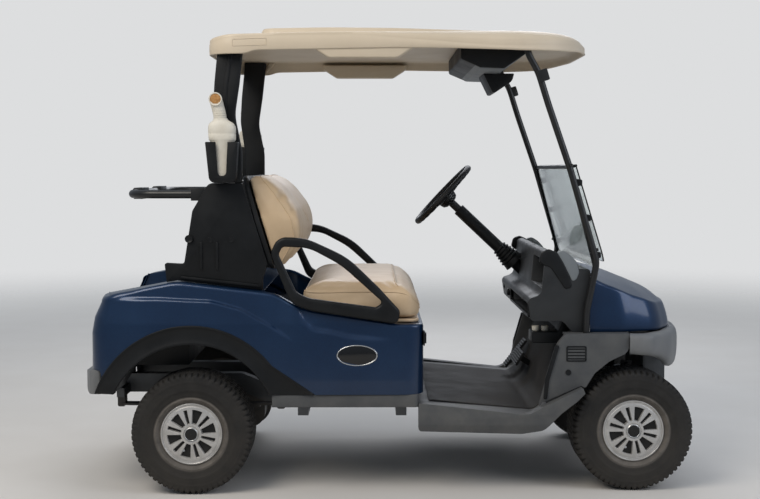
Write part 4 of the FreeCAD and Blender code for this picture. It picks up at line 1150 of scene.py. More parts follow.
@dataclass
class RearBody(Assembly):
    """Painted rear body with its arch trims, sills, plates and bag well."""

    low: float = 378.0
    over_bumper: float = 463.3
    arch: float = 408.0
    opening: float = 336.0
    squash: float = 0.96
    rear_end: float = -397.6
    plate: Pair = (619.5, 525.0)
    # columns: height, inward lean of the side
    lean: tuple[Pair, ...] = ((378, 4), (430, 4), (640, 14), (790, 40))
    # columns: forward, height
    top_line: tuple[Pair, ...] = (
        (-352, 742), (-60, 797), (314, 754), (372, 720), (440, 692), (772, 640), (869, 640))
    brow: tuple[Pair, ...] = (
        (-120, 728), (-28, 723), (76, 719), (187, 689), (290, 633), (342, 600), (371, 577))
    hollow: tuple[Pair, ...] = (
        (371, 733), (394, 689), (416, 637), (453, 611), (519, 603), (594, 584), (700, 575))

    def build(self) -> None:
        """Build all of it."""
        f = self.finishes
        dress(self.shell(), f.paint, "body_paint", ["rear_body"])
        dress(self.deck(), f.paint, "body_paint")
        dress(self.trims(), f.trim, "trim_plastic", ["arch_trims"])
        dress(self.liners(), f.trim, "trim_plastic")
        dress(self.sill_strips(), f.charcoal, "bumper_plastic", ["sills"])
        dress(self.number_plates(), f.screen, "trim_plastic")
        dress(self.plate_rims(), f.chrome, "frame_aluminium")
        dress(self.switch(), f.trim, "trim_plastic")
        self.refine("bag_well", "bag_tray", 1.6, f.trim, "trim_plastic", 2)
        dress(self.tray_ribs(), f.trim, "trim_plastic")
        self.refine("rear_bumper", "rear_bumper_band", 7, f.bumper, "bumper_plastic")

    def top(self, u: float) -> float:
        """Height of the upper edge, eased over its corners."""
        return eased(self.top_line, u, 26)

    def low_edge(self, u: float) -> float:
        """Height of the lower edge: bottom line, rear bumper, wheel arch or the arch's tail."""
        base = self.over_bumper if u < -342 else self.low
        reach = self.arch * self.squash
        arch = AXLE_HEIGHT + self.arch * math.sqrt(max(0, 1 - (u / reach) ** 2))
        tail = interpolate([(299, 0), (300, 481), (356, 452), (456, 384), (457, 0)], u)
        return max(base, arch, tail)

    def outline(self) -> list[Pair]:
        """Half plan from the middle of the front round to the bag well, in millimetres from the rear axle."""
        corners = [
            (869, 0, 0), (869, -594, 74), (300, -600, 900), (-200, -600, 300), (-375, -560, 110),
            (self.rear_end, -421, 0)]
        return even_line(corners, 11.5)

    def inset_at(self, z: float, normal: Vector) -> float:
        """How far the wall leans in at a height, by the way that it faces."""
        side = interpolate(self.lean, z)
        rear = interpolate([(600, 1), (660, 12), (742, 50)], z)
        facing_rear = max(0, -normal.x) ** 2
        return side * normal.y ** 2 + rear * facing_rear + 0.5 * max(0, normal.x) ** 2

    def crease(self, u: float, z: float) -> float:
        """Depth of the pressed-in areas over the wheel and under the armrest."""
        over = smooth_step(0, 12, z - interpolate(self.brow, u))
        over *= (1 - smooth_step(320, 392, u)) * smooth_step(-340, -180, u)
        under = smooth_step(0, interpolate([(405, 62), (470, 20)], u), z - interpolate(self.hollow, u))
        under *= smooth_step(356, 408, u) * (1 - smooth_step(600, 790, u))
        return 10 * over + 12 * under

    def inner_end(self, u: float, v: float, normal: Vector) -> Vector:
        """Place on the rim of the seat hole or the bag well that the top runs in to."""
        if normal.x > 0.1:
            return Vector((824, max(v, -534)))
        depth = interpolate([(-60, -424), (-20, -470), (240, -470), (290, -534)], u)
        return Vector((min(824, u), max(v, depth)))

    def lining(self, u: float, start: float, share: float) -> tuple[float, float]:
        """Place below the top's rim: on the wall behind the bag tray's side, or elsewhere on a short lip."""
        if u > -32:
            return u, start - 10 * share
        foot = interpolate([(-420, 560), (-330, 620), (-200, 700), (-30, 762)], u) - 18
        z = start + (foot - start) * share
        edge, high = (self.rear_end + self.inset_at(height, Vector((-1, 0))) for height in (z, start))
        return -30 + (u + 30) * (edge + 30) / (high + 30), z

    def shell(self) -> Object:
        """Wall, shoulder and top, mirrored and given its thickness."""
        line = self.outline()
        wall_rows, bend_rows, top_rows, down_rows = 42, 6, 7, 6

        def place(row: int, column: int) -> Vector:
            """Point of the wrapped surface."""
            u, v = line[column]
            along = heading(line, column)
            normal = Vector((-along.y, along.x))
            facing = normal.y ** 2
            bend = interpolate([(-340, 26), (-200, 17), (372, 17), (460, 13)], u)
            low, high = self.low_edge(u) if abs(v) > 300 else self.low, self.top(u) - bend
            if row <= wall_rows:
                z = low + (high - low) * row / wall_rows
                inset = self.inset_at(z, normal) + self.crease(u, z) * facing
            else:
                angle = min(1, (row - wall_rows) / bend_rows) * pi / 2
                z = high + bend * sin(angle)
                inset = self.inset_at(high, normal) + self.crease(u, high) * facing + bend * (1 - cos(angle))
            here = Vector((u, v)) - normal * inset
            if row > wall_rows + bend_rows:
                inner = self.inner_end(here.x, here.y, normal)
                here = here.lerp(inner, min(1, (row - wall_rows - bend_rows) / top_rows))
                z = self.top(here.x) - 0.6
            if row > wall_rows + bend_rows + top_rows:
                share = (row - wall_rows - bend_rows - top_rows) / down_rows
                here.x, z = self.lining(here.x, z, share)
            return metres(here.x + REAR_AXLE, here.y, z)

        piece = skin("rear_body_shell", wall_rows + bend_rows + top_rows + down_rows + 1, len(line), place)
        paired(piece)
        walled(piece, PANEL_WALL)
        return smooth(piece, 40)

    def deck(self) -> Object:
        """Painted deck between the side panels."""
        side = at_rear([
            (-33, 763, 0), (-33, 792.5, 7), (265, 758.5, 0), (265, 755, 0), (-29.5, 789, 3), (-29.5, 763, 0)])
        return soften(slab("rear_deck", side, -472, 472), 1)

    def wall_at(self, u: float, z: float) -> float:
        """Distance of the body's side from the middle plane."""
        plan = interpolate(
            [(-375, 562), (-330, 578), (-240, 594), (-150, 599), (100, 600), (500, 598), (869, 594)], u)
        return plan - interpolate(self.lean, z)

    def ellipse(self, radius: float, start: float, end: float, count: int) -> list[Pair]:
        """Points of an arch about the rear axle, between two angles in degrees."""
        angles = [radians(start + (end - start) * i / count) for i in range(count + 1)]
        return [(radius * self.squash * cos(a), AXLE_HEIGHT + radius * sin(a)) for a in angles]

    def trims(self) -> Object:
        """Moulded rim of the arch: a bead along its outer edge, a dished face and a deep return."""
        outer = [(456, 378), (456, 384), (356, 452)] + self.ellipse(self.arch, 39.5, 158.5, 60)
        inner = self.ellipse(self.opening, 26.4, 153.6, 60)
        outer = resampled(outer, 9)
        count = len(outer) - 1
        whole = sum(dist(a, b) for a, b in zip(inner, inner[1:]))
        inner = resampled(inner, whole / count)[:count + 1]
        # columns: share of the way in, outward from the body's side
        rows = [
            (0, -8), (0, 0.8), (0.015, 3), (0.05, 3.6), (0.09, 3), (0.12, 0.5), (0.16, -1.5), (0.3, -3.6),
            (0.5, -4.6), (0.7, -4), (0.86, -2.2), (0.94, -0.6), (0.98, -2), (1, -6), (1, -20), (1, -34),
            (1, -42)]

        def place(row: int, column: int) -> Vector:
            """Point of the rim's section."""
            share, out = rows[row]
            a, b = outer[column], inner[min(column, len(inner) - 1)]
            u, z = a[0] + (b[0] - a[0]) * share, a[1] + (b[1] - a[1]) * share
            return metres(u + REAR_AXLE, -(self.wall_at(u, z) + out), z)

        piece = skin("arch_rims", len(rows), len(outer), place)
        walled(piece, TRIM_WALL)
        return paired(smooth(piece, 46))

    def liners(self) -> Object:
        """Wheel houses behind the arches."""
        arch = self.ellipse(self.opening + 2, 27, 153, 40)
        depths = [-560, -500, -440, -380, -345]

        def place(row: int, column: int) -> Vector:
            """Point of the vaulted sheet."""
            u, z = arch[column]
            return metres(u + REAR_AXLE, depths[row], z)

        piece = skin("wheel_houses", len(depths), len(arch), place)
        modify(piece, "SOLIDIFY", thickness=TRIM_WALL * MM, offset=0)
        return paired(smooth(piece, 46))

    def sill_strips(self) -> Object:
        """Lower strips, with their rounded front corners."""
        plan = at_rear([(302, -588, 3), (848.5, -588, 18), (848.5, -541, 3), (302, -541, 3)])
        piece = slab("sill_strips", plan, 330, 377.6, 8, Plane.XY)
        return paired(soften(piece, 5, 3, 50))

    def oval(self, grow: float) -> list[Pair]:
        """Outline of the number plate, in millimetres, grown by some."""
        u, v = self.plate
        return [(u + (74 + grow) * c, v + (37.5 + grow) * s) for c, s in circle(1, 64)]

    def number_plates(self) -> Object:
        """Blank oval plates on both sides."""
        face = self.wall_at(*self.plate)
        outline = [(u + REAR_AXLE, v, 0) for u, v in self.oval(-1)]
        piece = slab("blank_oval_plates", outline, -(face + 1.6), -(face - 7))
        return paired(soften(piece, 0.8, 2, 50))

    def plate_rims(self) -> Object:
        """Bright rims of the oval plates."""
        face = self.wall_at(*self.plate)
        points = [Vector(((u + REAR_AXLE) * MM, -(face + 0.6) * MM, v * MM)) for u, v in self.oval(0)]
        return paired(bar("plate_rims", points, 2.4, closed=True))

    def switch(self) -> Object:
        """Direction switch on the front of the pod: surround, rocker and its key barrel."""
        x = REAR_AXLE + 869
        surround = slab("direction_switch", box(-556, -520, 556, 612, 6), x - 1, x + 4, plane=Plane.YZ)
        rocker = slab("rocker", box(-550, -526, 564, 604, 4), x + 3, x + 10, plane=Plane.YZ)
        barrel = knob("barrel", metres(x + 1, -486, 590), Vector((1, 0, 0)), 11, 8)
        return soften(joined("direction_switch", [surround, rocker, barrel]), 1.4, 2, 50)

    def tray_ribs(self) -> Object:
        """Ribs across the floor of the bag tray."""
        outline = at_rear([(-386, 469, 0), (-386, 474, 3), (-150, 474, 3), (-150, 469, 0)])
        ribs = [slab("tray_ribs", outline, y - 5, y + 5) for y in range(-330, 331, 110)]
        return soften(joined("tray_ribs", ribs), 1.5)


@dataclass
class Seat(Assembly):
    """Bench seat: padded back and bottom with their seams, the back's shell and the hip restraints."""

    frames: int = 20
    voxel: float = 11.0
    pressure: float = 4.0
    stiffness: float = 18.0
    cap: float = 12.0

    def build(self) -> None:
        """Build all of it."""
        f = self.finishes
        back = self.padded("seat_back_pad", self.nodes["seat_back_cushion"], self.back_pins)
        dress(back, f.vinyl, "seat_vinyl", ["seat_back_cushion"])
        dress(self.piping("seat_back_seams", back, self.back_seams()), f.vinyl, "seat_vinyl")
        bottom = self.padded("seat_bottom_pad", self.nodes["seat_bottom_cushion"], self.bottom_pins)
        dress(bottom, f.vinyl, "seat_vinyl", ["seat_bottom_cushion"], body="seat_bottom")
        dress(
            self.piping("seat_bottom_seams", bottom, self.bottom_seams()), f.vinyl, "seat_vinyl",
            body="seat_bottom")
        self.refine("seat_bottom_pan", "seat_base_board", 5, f.vinyl, "seat_vinyl", body="seat_bottom")
        self.refine("seat_back_shell", "seat_back_housing", 4, f.trim, "trim_plastic")
        dress(self.restraints(), f.trim, "trim_plastic", ["armrests"])

    def back_pins(self, point: Vector) -> float:
        """Hold of the shell behind the back and of the split between its two halves."""
        u, z = point.x / MM - REAR_AXLE, point.z / MM
        rear = 304 + (z - 850) * (200 - 304) / 336
        if u < rear + 12:
            return 1
        split = (1 - smooth_step(6, 16, abs(point.y) / MM)) * smooth_step(960, 1060, z)
        return 0.9 * split

    def bottom_pins(self, point: Vector) -> float:
        """Hold of the pan below and of the seam across the front roll."""
        u, z = point.x / MM - REAR_AXLE, point.z / MM
        if z < 664:
            return 1
        across = 1 - smooth_step(5, 12, abs(u - 772))
        return 0.9 * across

    def padded(self, name: str, node: Object, pins: Callable[[Vector], float]) -> Object:
        """Swell a cushion as cloth under pressure, held along its seams.

        Args:
            name: Name of the piece.
            node: CAD solid that gives its space.
            pins: Share, from zero to one, by which a place is held.

        Returns:
            The padded mesh.
        """
        piece = copy_of(node, name)
        modify(piece, "REMESH", mode="VOXEL", voxel_size=self.voxel * MM)
        modify(piece, "SMOOTH", factor=0.5, iterations=12)
        modify(piece, "DISPLACE", strength=-5 * MM, mid_level=0)
        group = piece.vertex_groups.new(name="sewn")
        for vertex in piece.data.vertices:
            group.add([vertex.index], pins(vertex.co), "REPLACE")
        self.swell(piece)
        piece.vertex_groups.clear()
        modify(piece, "SUBSURF", levels=1, render_levels=1)
        pick(piece)
        bpy.ops.object.shade_smooth()
        return piece

    def swell(self, piece: Object) -> None:
        """Run the cloth under pressure and keep each point within the cap."""
        rest = [vertex.co.copy() for vertex in piece.data.vertices]
        cloth = piece.modifiers.new("Cloth", "CLOTH")
        cloth.settings.use_pressure = True
        cloth.settings.uniform_pressure_force = self.pressure
        cloth.settings.effector_weights.gravity = 0
        cloth.settings.vertex_group_mass = "sewn"
        cloth.settings.tension_stiffness = self.stiffness
        cloth.settings.compression_stiffness = self.stiffness
        cloth.settings.quality = 5
        cloth.point_cache.frame_end = self.frames
        scene = bpy.context.scene
        for frame in range(1, self.frames + 1):
            scene.frame_set(frame)
        pick(piece)
        bpy.ops.object.modifier_apply(modifier=cloth.name)
        for vertex, start in zip(piece.data.vertices, rest):
            moved = vertex.co - start
            if moved.length > self.cap * MM:
                vertex.co = start + moved.normalized() * self.cap * MM
        scene.frame_set(1)
        modify(piece, "SMOOTH", factor=0.4, iterations=3)
        log.info("%s swollen: %d points", piece.name, len(rest))

    def back_seams(self) -> list[tuple[list[Vector], bool]]:
        """Boxing seam round the back's face, and the seam down between its halves."""
        half = [
            (60, 832, 20), (478, 832, 40), (489, 1000, 200), (450, 1208, 100), (246, 1204, 200),
            (60, 1190, 60), (0.5, 1166, 0)]
        loop = half + [(-u, v, r) for u, v, r in reversed(half)]
        front = [(838, 318), (900, 352), (965, 384), (1040, 366), (1120, 312), (1190, 250)]
        points = []
        for y, z in resampled(rounded(loop, True, 8) + rounded(loop, True, 8)[:1], 0.022):
            points.append(Vector(((interpolate(front, z / MM) + REAR_AXLE) * MM, y, z)))
        split = [
            Vector(((interpolate(front, z) + 34 + REAR_AXLE) * MM, 0, z * MM)) for z in range(1000, 1165, 14)]
        return [(points, True), (split, False)]

    def bottom_seams(self) -> list[tuple[list[Vector], bool]]:
        """Seam round the top panel and the two seams across the front roll."""
        loop = at_rear([(410, -520, 40), (858, -516, 70), (858, 516, 70), (410, 520, 40)])
        outline = rounded(loop, True, 6)
        line = resampled(outline + outline[:1], 0.022)
        # columns: forward, height
        top = [(400, 760), (700, 768), (800, 752), (858, 700)]
        around = [Vector((u, v, interpolate(top, u / MM - REAR_AXLE) * MM)) for u, v in line]
        across = [Vector(((REAR_AXLE + 772) * MM, y * MM, 0.8)) for y in range(-500, 501, 22)]
        low = [Vector(((REAR_AXLE + 890) * MM, y * MM, 0.690)) for y in range(-470, 471, 22)]
        return [(around, True), (across, False), (low, False)]

    def piping(self, name: str, pad: Object, seams: Sequence[tuple[list[Vector], bool]]) -> Object:
        """Thin welts that lie on a pad along its seams.

        Args:
            name: Name of the piece.
            pad: Finished pad.
            seams: Lines near the surface, each with whether it closes.

        Returns:
            The welts as one mesh.
        """
        pieces = []
        for points, closed in seams:
            laid = []
            for point in points:
                found, spot, normal, _ = pad.closest_point_on_mesh(point)
                laid.append(spot + normal * 0.0006 if found else point)
            pieces.append(bar(name, laid[:-1] if closed else laid, 2.3, closed=closed, sides=2))
        return joined(name, pieces)

    def restraints(self) -> Object:
        """Hip restraint loops with a rounded section."""
        outer = at_rear([
            (298, 905, 40), (325, 966, 60), (430, 962, 200), (585, 890, 300), (700, 778, 200), (780, 690, 20),
            (772, 640.3, 60), (440, 692.3, 200), (372, 720.3, 60)])
        inner = at_rear([
            (328, 900, 20), (342, 930, 18), (440, 926, 150), (560, 862, 300), (716, 722, 14), (690, 704, 14),
            (440, 738, 100), (394, 760, 40)])
        piece = slab("hip_restraints", outer, -594, -560, 6)
        cut(piece, slab("tool", inner, -620, -540, 6))
        return paired(soften(piece, 10.5, 4, 50))


@dataclass
class Wheel(Assembly):
    """Tyre with its tread, rim and slotted cap."""

    name: str
    axle: float
    track: float
    side: int
    columns: int = 372
    blocks: int = 62
    groove: float = 6.5

    def build(self) -> None:
        """Build all of it, on the body that rolls."""
        f = self.finishes
        for piece, material, slot, *replaces in (
                (self.tyre(), f.tyre, "tyre_rubber", f"tyre_{self.name}"),
                (self.rim(), f.silver, "wheel_silver", f"wheel_{self.name}"),
                # the black disc behind the cap's slots is painted shade in the pockets
                (self.cap(), f.silver, "wheel_silver"), (self.shade_disc_and_hub(), f.trim, "trim_plastic"),
                (self.ring(), f.chrome, "wheel_silver")):
            dress(piece, material, slot, replaces, f"roll_{self.name}")

    def point(self, radius: float, across: float, turn: float) -> Vector:
        """Place about the wheel's middle, turned back from its top."""
        centre = metres(self.axle, self.side * self.track, AXLE_HEIGHT)
        return centre + metres(radius * sin(turn), across, radius * cos(turn))

    def revolved(self, name: str, section: Sequence[Corner], steps: int, turn: float = 15.0) -> Object:
        """Section of outboard distance, radius and corner radius, turned about the axle."""
        corners = [(self.side * u, v, r) for u, v, r in section]
        return turned(f"{name}_{self.name}", corners, self.point(0, 0, 0), steps, turn)

    def profile(self) -> list[Pair]:
        """Closed section of the tyre: across and radius, in millimetres."""
        half = [
            (85.7, 102.2, 4), (85.7, 121.5, 4), (97, 129.5, 20), (103, 171.5, 60), (96, 222.5, 14),
            (70, 228.2, 60)]
        whole = half + [(-u, v, r) for u, v, r in reversed(half)]
        points = rounded(whole, True, 6)
        section = [(u / MM, v / MM) for u, v in resampled(points + points[:1], 0.0042)]
        return [(u, v) for u, v in section if v > 103 or abs(u) > 80]

    def tread(self, across: float, turn: float) -> float:
        """Depth of the tread's grooves at a place: zigzag grooves round it and cuts over the shoulders."""
        arc = turn / tau * self.blocks
        saw = abs((arc * 2) % 2 - 1)
        depth = 0
        for middle in (-46, -16, 16, 46):
            line = middle + (saw - 0.5) * 13
            depth = max(depth, 1 - smooth_step(2, 4.2, abs(across - line)))
        if abs(across) > 60:
            notch = abs(arc % 1 - 0.25)
            depth = max(depth, (1 - smooth_step(0.09, 0.22, notch)) * smooth_step(60, 66, abs(across)))
        return self.groove * depth * (1 - smooth_step(99, 104, abs(across)))

    def tyre(self) -> Object:
        """Carcass with bulging sidewalls, fine rings and a cut tread."""
        section = self.profile()

        def place(row: int, column: int) -> Vector:
            """Point of the tyre's skin."""
            across, radius = section[row]
            turn = tau * column / self.columns
            if radius > 202:
                radius -= self.tread(across, turn) * smooth_step(202, 214, radius)
            else:
                for ring, height, width in ((130, 2.8, 7), (146, 1, 2.5), (166, 1.4, 3), (196, 1.4, 4)):
                    lift = height * (1 - smooth_step(width * 0.4, width, abs(radius - ring)))
                    across += math.copysign(lift, across) if abs(across) > 84 else 0
            return self.point(radius, across, turn)

        return smooth(skin(f"treaded_tyre_{self.name}", len(section), self.columns + 1, place), 42)

    def rim(self) -> Object:
        """Steel rim with its drop centre and disc."""
        section = [
            (-90, 115.5, 2), (-86, 115.5, 0), (-86, 101.4, 3), (-44, 97.6, 6), (-34, 81.6, 6), (10, 81.6, 6),
            (22, 97.6, 6), (86, 101.4, 3), (86, 115.5, 0), (90, 115.5, 2), (90, 111, 2), (79, 107, 4),
            (74, 98.5, 4), (24, 93.6, 6), (12, 77.6, 6), (6, 76, 4), (6, 24, 2), (0, 24, 2), (0, 76, 4),
            (-36, 77.6, 6), (-46, 93.6, 6), (-90, 97.6, 3)]
        return smooth(self.revolved("rim", section, 64, 20), 40)

    def face(self, radius: float, turn: float) -> float:
        """How far out the cap's face stands at a place."""
        # columns: radius, distance outboard
        line = [
            (0, 97), (22, 97.5), (25, 96), (27, 93.5), (30, 95.5), (34, 95.4), (44, 94), (70, 91.4),
            (92, 88.6), (94, 88.2), (100, 88), (103, 87), (104.6, 84.5), (105.4, 81.5)]
        out = interpolate(line, radius)
        pitch = tau / 6
        local = turn % pitch - pitch / 2
        for middle, wide in ((-0.25 * pitch, True), (0.25 * pitch, False)):
            reach = radians(12.6) * radius - 1 if wide else interpolate([(38, 4.2), (90, 6.6)], radius)
            off = abs(local - middle) * radius
            pocket = 1 - smooth_step(reach - 1.4, reach + 0.8, off)
            pocket *= smooth_step(38.5, 41.5, radius) * (1 - smooth_step(88.4, 91.6, radius))
            out += (74 - out) * pocket
        return out

    def cap(self) -> Object:
        """Slotted cap: six pairs of spokes between a dished hub and the outer ring."""
        radii = [
            0, 10, 18, 22, 24, 25.5, 27, 28.5, 30, 33, 36, 38.5, 39.5, 40.5, 41.5, 50, 62, 74, 85, 88.4, 89.4,
            90.5, 91.6, 94, 100, 102, 103.2, 104.2, 105, 105.4]
        # columns: radius and distance outboard of the cap's hidden back
        back = [(104, 80), (94, 71), (0, 71)]
        # degrees within a sixth of the turn, closer together at the edges of the slots
        stops = [
            0, 1.2, 2.4, 3, 3.6, 4.2, 4.9, 5.8, 10, 15, 20, 24.2, 25.1, 25.8, 26.4, 27, 27.6, 28.8, 31.5,
            34.8, 37.7, 38.5, 39.2, 39.9, 40.6, 41.4, 42.2, 45, 47.8, 48.6, 49.4, 50.1, 50.8, 51.5, 52.3, 55,
            58]
        turns = [radians(60 * sixth + stop) for sixth in range(6) for stop in stops] + [0]

        def place(row: int, column: int) -> Vector:
            """Point of the cap's face or back."""
            turn = turns[column]
            if row >= len(radii):
                radius, out = back[row - len(radii)]
            else:
                radius, out = radii[row], self.face(radii[row], turn)
            return self.point(radius, self.side * out, turn)

        return smooth(skin(f"cap_{self.name}", len(radii) + len(back), len(turns), place), 38)

    def shade_disc_and_hub(self) -> Object:
        """Painted shade: a black disc behind the slots, so that the pockets read as lying in shade; and the
        dark middle of the cap.
        """
        # painted shade: a black sheet where the slots' pockets would lie in shade
        disc = self.revolved("cap_backing", [(72, 0.5, 0), (79, 0.5, 0), (79, 97.5, 1), (72, 97.5, 1)], 72)
        middle = self.revolved(
            "middle", [(95, 0.5, 0), (99.6, 0.5, 0), (99, 14, 6), (97.6, 22.4, 1.5), (95, 22.4, 0)], 48)
        return smooth(joined(f"cap_backing_{self.name}", [disc, middle]), 40)

    def ring(self) -> Object:
        """Bright ring round the cap's middle, and the valve."""
        points = [self.point(23.6, self.side * 98.2, tau * i / 24) for i in range(24)]
        ring = bar(f"cap_ring_{self.name}", points, 1.5, closed=True, sides=2)
        foot = self.point(68, self.side * 77, radians(205))
        valve = knob("valve", foot, Vector((0, self.side, 0)), 4.2, 14, 16)
        return joined(ring.name, [ring, valve])


@dataclass
class Nose(Assembly):
    """Bonnet, bumper band and the fenders behind the front wheels."""

    foot: float = 598.0
    band_top: float = 597.4
    shoulder_round: float = 13.0
    # columns: forward from the front axle, height
    shoulder: tuple[Pair, ...] = ((-160, 814), (-116, 786), (-39, 759), (85, 718), (130, 706), (224, 697))
    ridge_line: tuple[Pair, ...] = ((-160, 834), (-60, 811), (60, 762), (150, 712), (208, 668))
    under: tuple[Pair, ...] = ((-20, 520), (80, 513), (126, 496), (166, 464), (200, 440), (242, 440))

    def build(self) -> None:
        """Build all of it."""
        f = self.finishes
        dress(self.bonnet(), f.paint, "body_paint", ["front_cowl"])
        dress(self.band(), f.bumper, "bumper_plastic", ["front_bumper"])
        self.refine("front_fenders", "fender_panels", 5, f.charcoal, "bumper_plastic")
        dress(self.fender_details(), f.trim, "bumper_plastic")

    def bonnet(self) -> Object:
        """Painted bonnet: leaning wall, soft shoulder and a crowned top."""
        plan = [
            (-160, -484, 0), (-20, -484, 200), (128, -420, 160), (200, -290, 160), (224, -150, 300),
            (224, 0, 0)]
        line = even_line(plan, 9)
        # share of the wall's height
        wall = [0, 0.02, 0.08, 0.16, 0.25, 0.35, 0.45, 0.55, 0.65, 0.74, 0.82, 0.88, 0.92]
        bends = [20, 40, 60, 80]
        top = [0.02, 0.05, 0.1, 0.17, 0.26, 0.36, 0.48, 0.6, 0.73, 0.87, 1]

        def place(row: int, column: int) -> Vector:
            """Point of the wrapped surface."""
            u, v = line[column]
            along = heading(line, column)
            normal = Vector((along.y, -along.x))
            front = max(0, normal.x) ** 2
            lean = 28 * normal.y ** 2 + 26 * front
            high = eased(self.shoulder, u, 30)
            share = wall[row] if row < len(wall) else wall[-1]
            z = self.foot + (high - self.foot) * share
            inset = 2 + 14 * front + lean * share ** 1.7 + (3 * (1 - smooth_step(0, 0.03, share)))
            if row >= len(wall):
                angle = radians(bends[min(row - len(wall), len(bends) - 1)])
                inset += self.shoulder_round * (1 - cos(angle)) + lean * 0.12 * sin(angle)
                z += (high - z) * sin(angle)
            here = Vector((u, v)) - normal * inset
            if row >= len(wall) + len(bends):
                share = top[row - len(wall) - len(bends)]
                spine = Vector((-160 + 0.62 * (u + 160), 0))
                crest = eased(self.ridge_line, spine.x, 40)
                flat = here.lerp(spine, share)
                z = z + (crest - z) * (1 - (1 - share) ** 1.9)
                here = flat
            return metres(here.x + FRONT_AXLE, here.y, z)

        piece = skin("bonnet_shell", len(wall) + len(bends) + len(top), len(line), place)
        paired(piece)
        outward(piece, 0.00004)
        facing_out(piece)
        modify(piece, "SMOOTH", factor=0.3, iterations=1)
        walled(piece, PANEL_WALL)
        return smooth(piece, 44)

    def band(self) -> Object:
        """Rounded bumper band that wraps round the nose and drops to a chin."""
        plan = [
            (-20, -548, 0), (20, -554, 60), (66, -546, 140), (160, -440, 140), (222, -280, 160),
            (242, -140, 200), (242, 0, 0)]
        line = even_line(plan, 9)
        # columns: share of the height, inward in millimetres
        rows = [
            (0.94, 52), (0.985, 44), (1, 34), (0.998, 24), (0.985, 15), (0.955, 8), (0.9, 3.6), (0.82, 1),
            (0.7, 0), (0.55, 0), (0.4, 0.8), (0.28, 2.6), (0.17, 5.6), (0.09, 10), (0.035, 16), (0, 24),
            (0, 32), (0.05, 38), (0.2, 40), (0.5, 40)]

        def place(row: int, column: int) -> Vector:
            """Point of the band's section."""
            share, inward = rows[row]
            u, v = line[column]
            along = heading(line, column)
            normal = Vector((along.y, -along.x))
            low = eased(self.under, u, 18)
            z = low + (self.band_top - low) * share
            here = Vector((u, v)) - normal * inward
            return metres(here.x + FRONT_AXLE, here.y, z)

        piece = skin("bumper_band", len(rows), len(line), place)
        paired(piece)
        outward(piece, 0.00004)
        walled(piece, PANEL_WALL)
        return smooth(piece, 50)

    def fender_details(self) -> Object:
        """Louvred recess, plug and ridge on each fender."""
        frame = slab("fender_details", at_front(box(-258, -182, 494, 553, 6)), -542.5, -536)
        cut(frame, slab("tool", at_front(box(-253, -187, 499, 548, 4)), -550, -530))
        pieces = [frame]
        for z in (506, 518, 530, 542):
            pieces.append(slab("louvre", at_front(box(-252, -188, z - 3.5, z + 1.5, 1)), -541.5, -536))
        ridge = at_front([
            (-300, 556, 6), (-284, 556, 6), (-322, 424, 10), (-330, 352, 6), (-344, 352, 6), (-337, 428, 20)])
        pieces.append(slab("ridge", ridge, -546, -534))
        pieces.append(knob("plug", metres(FRONT_AXLE - 250, -538, 453), Vector((0, -1, 0)), 11, 5))
        return paired(soften(joined("fender_details", pieces), 1.6, 2, 50))


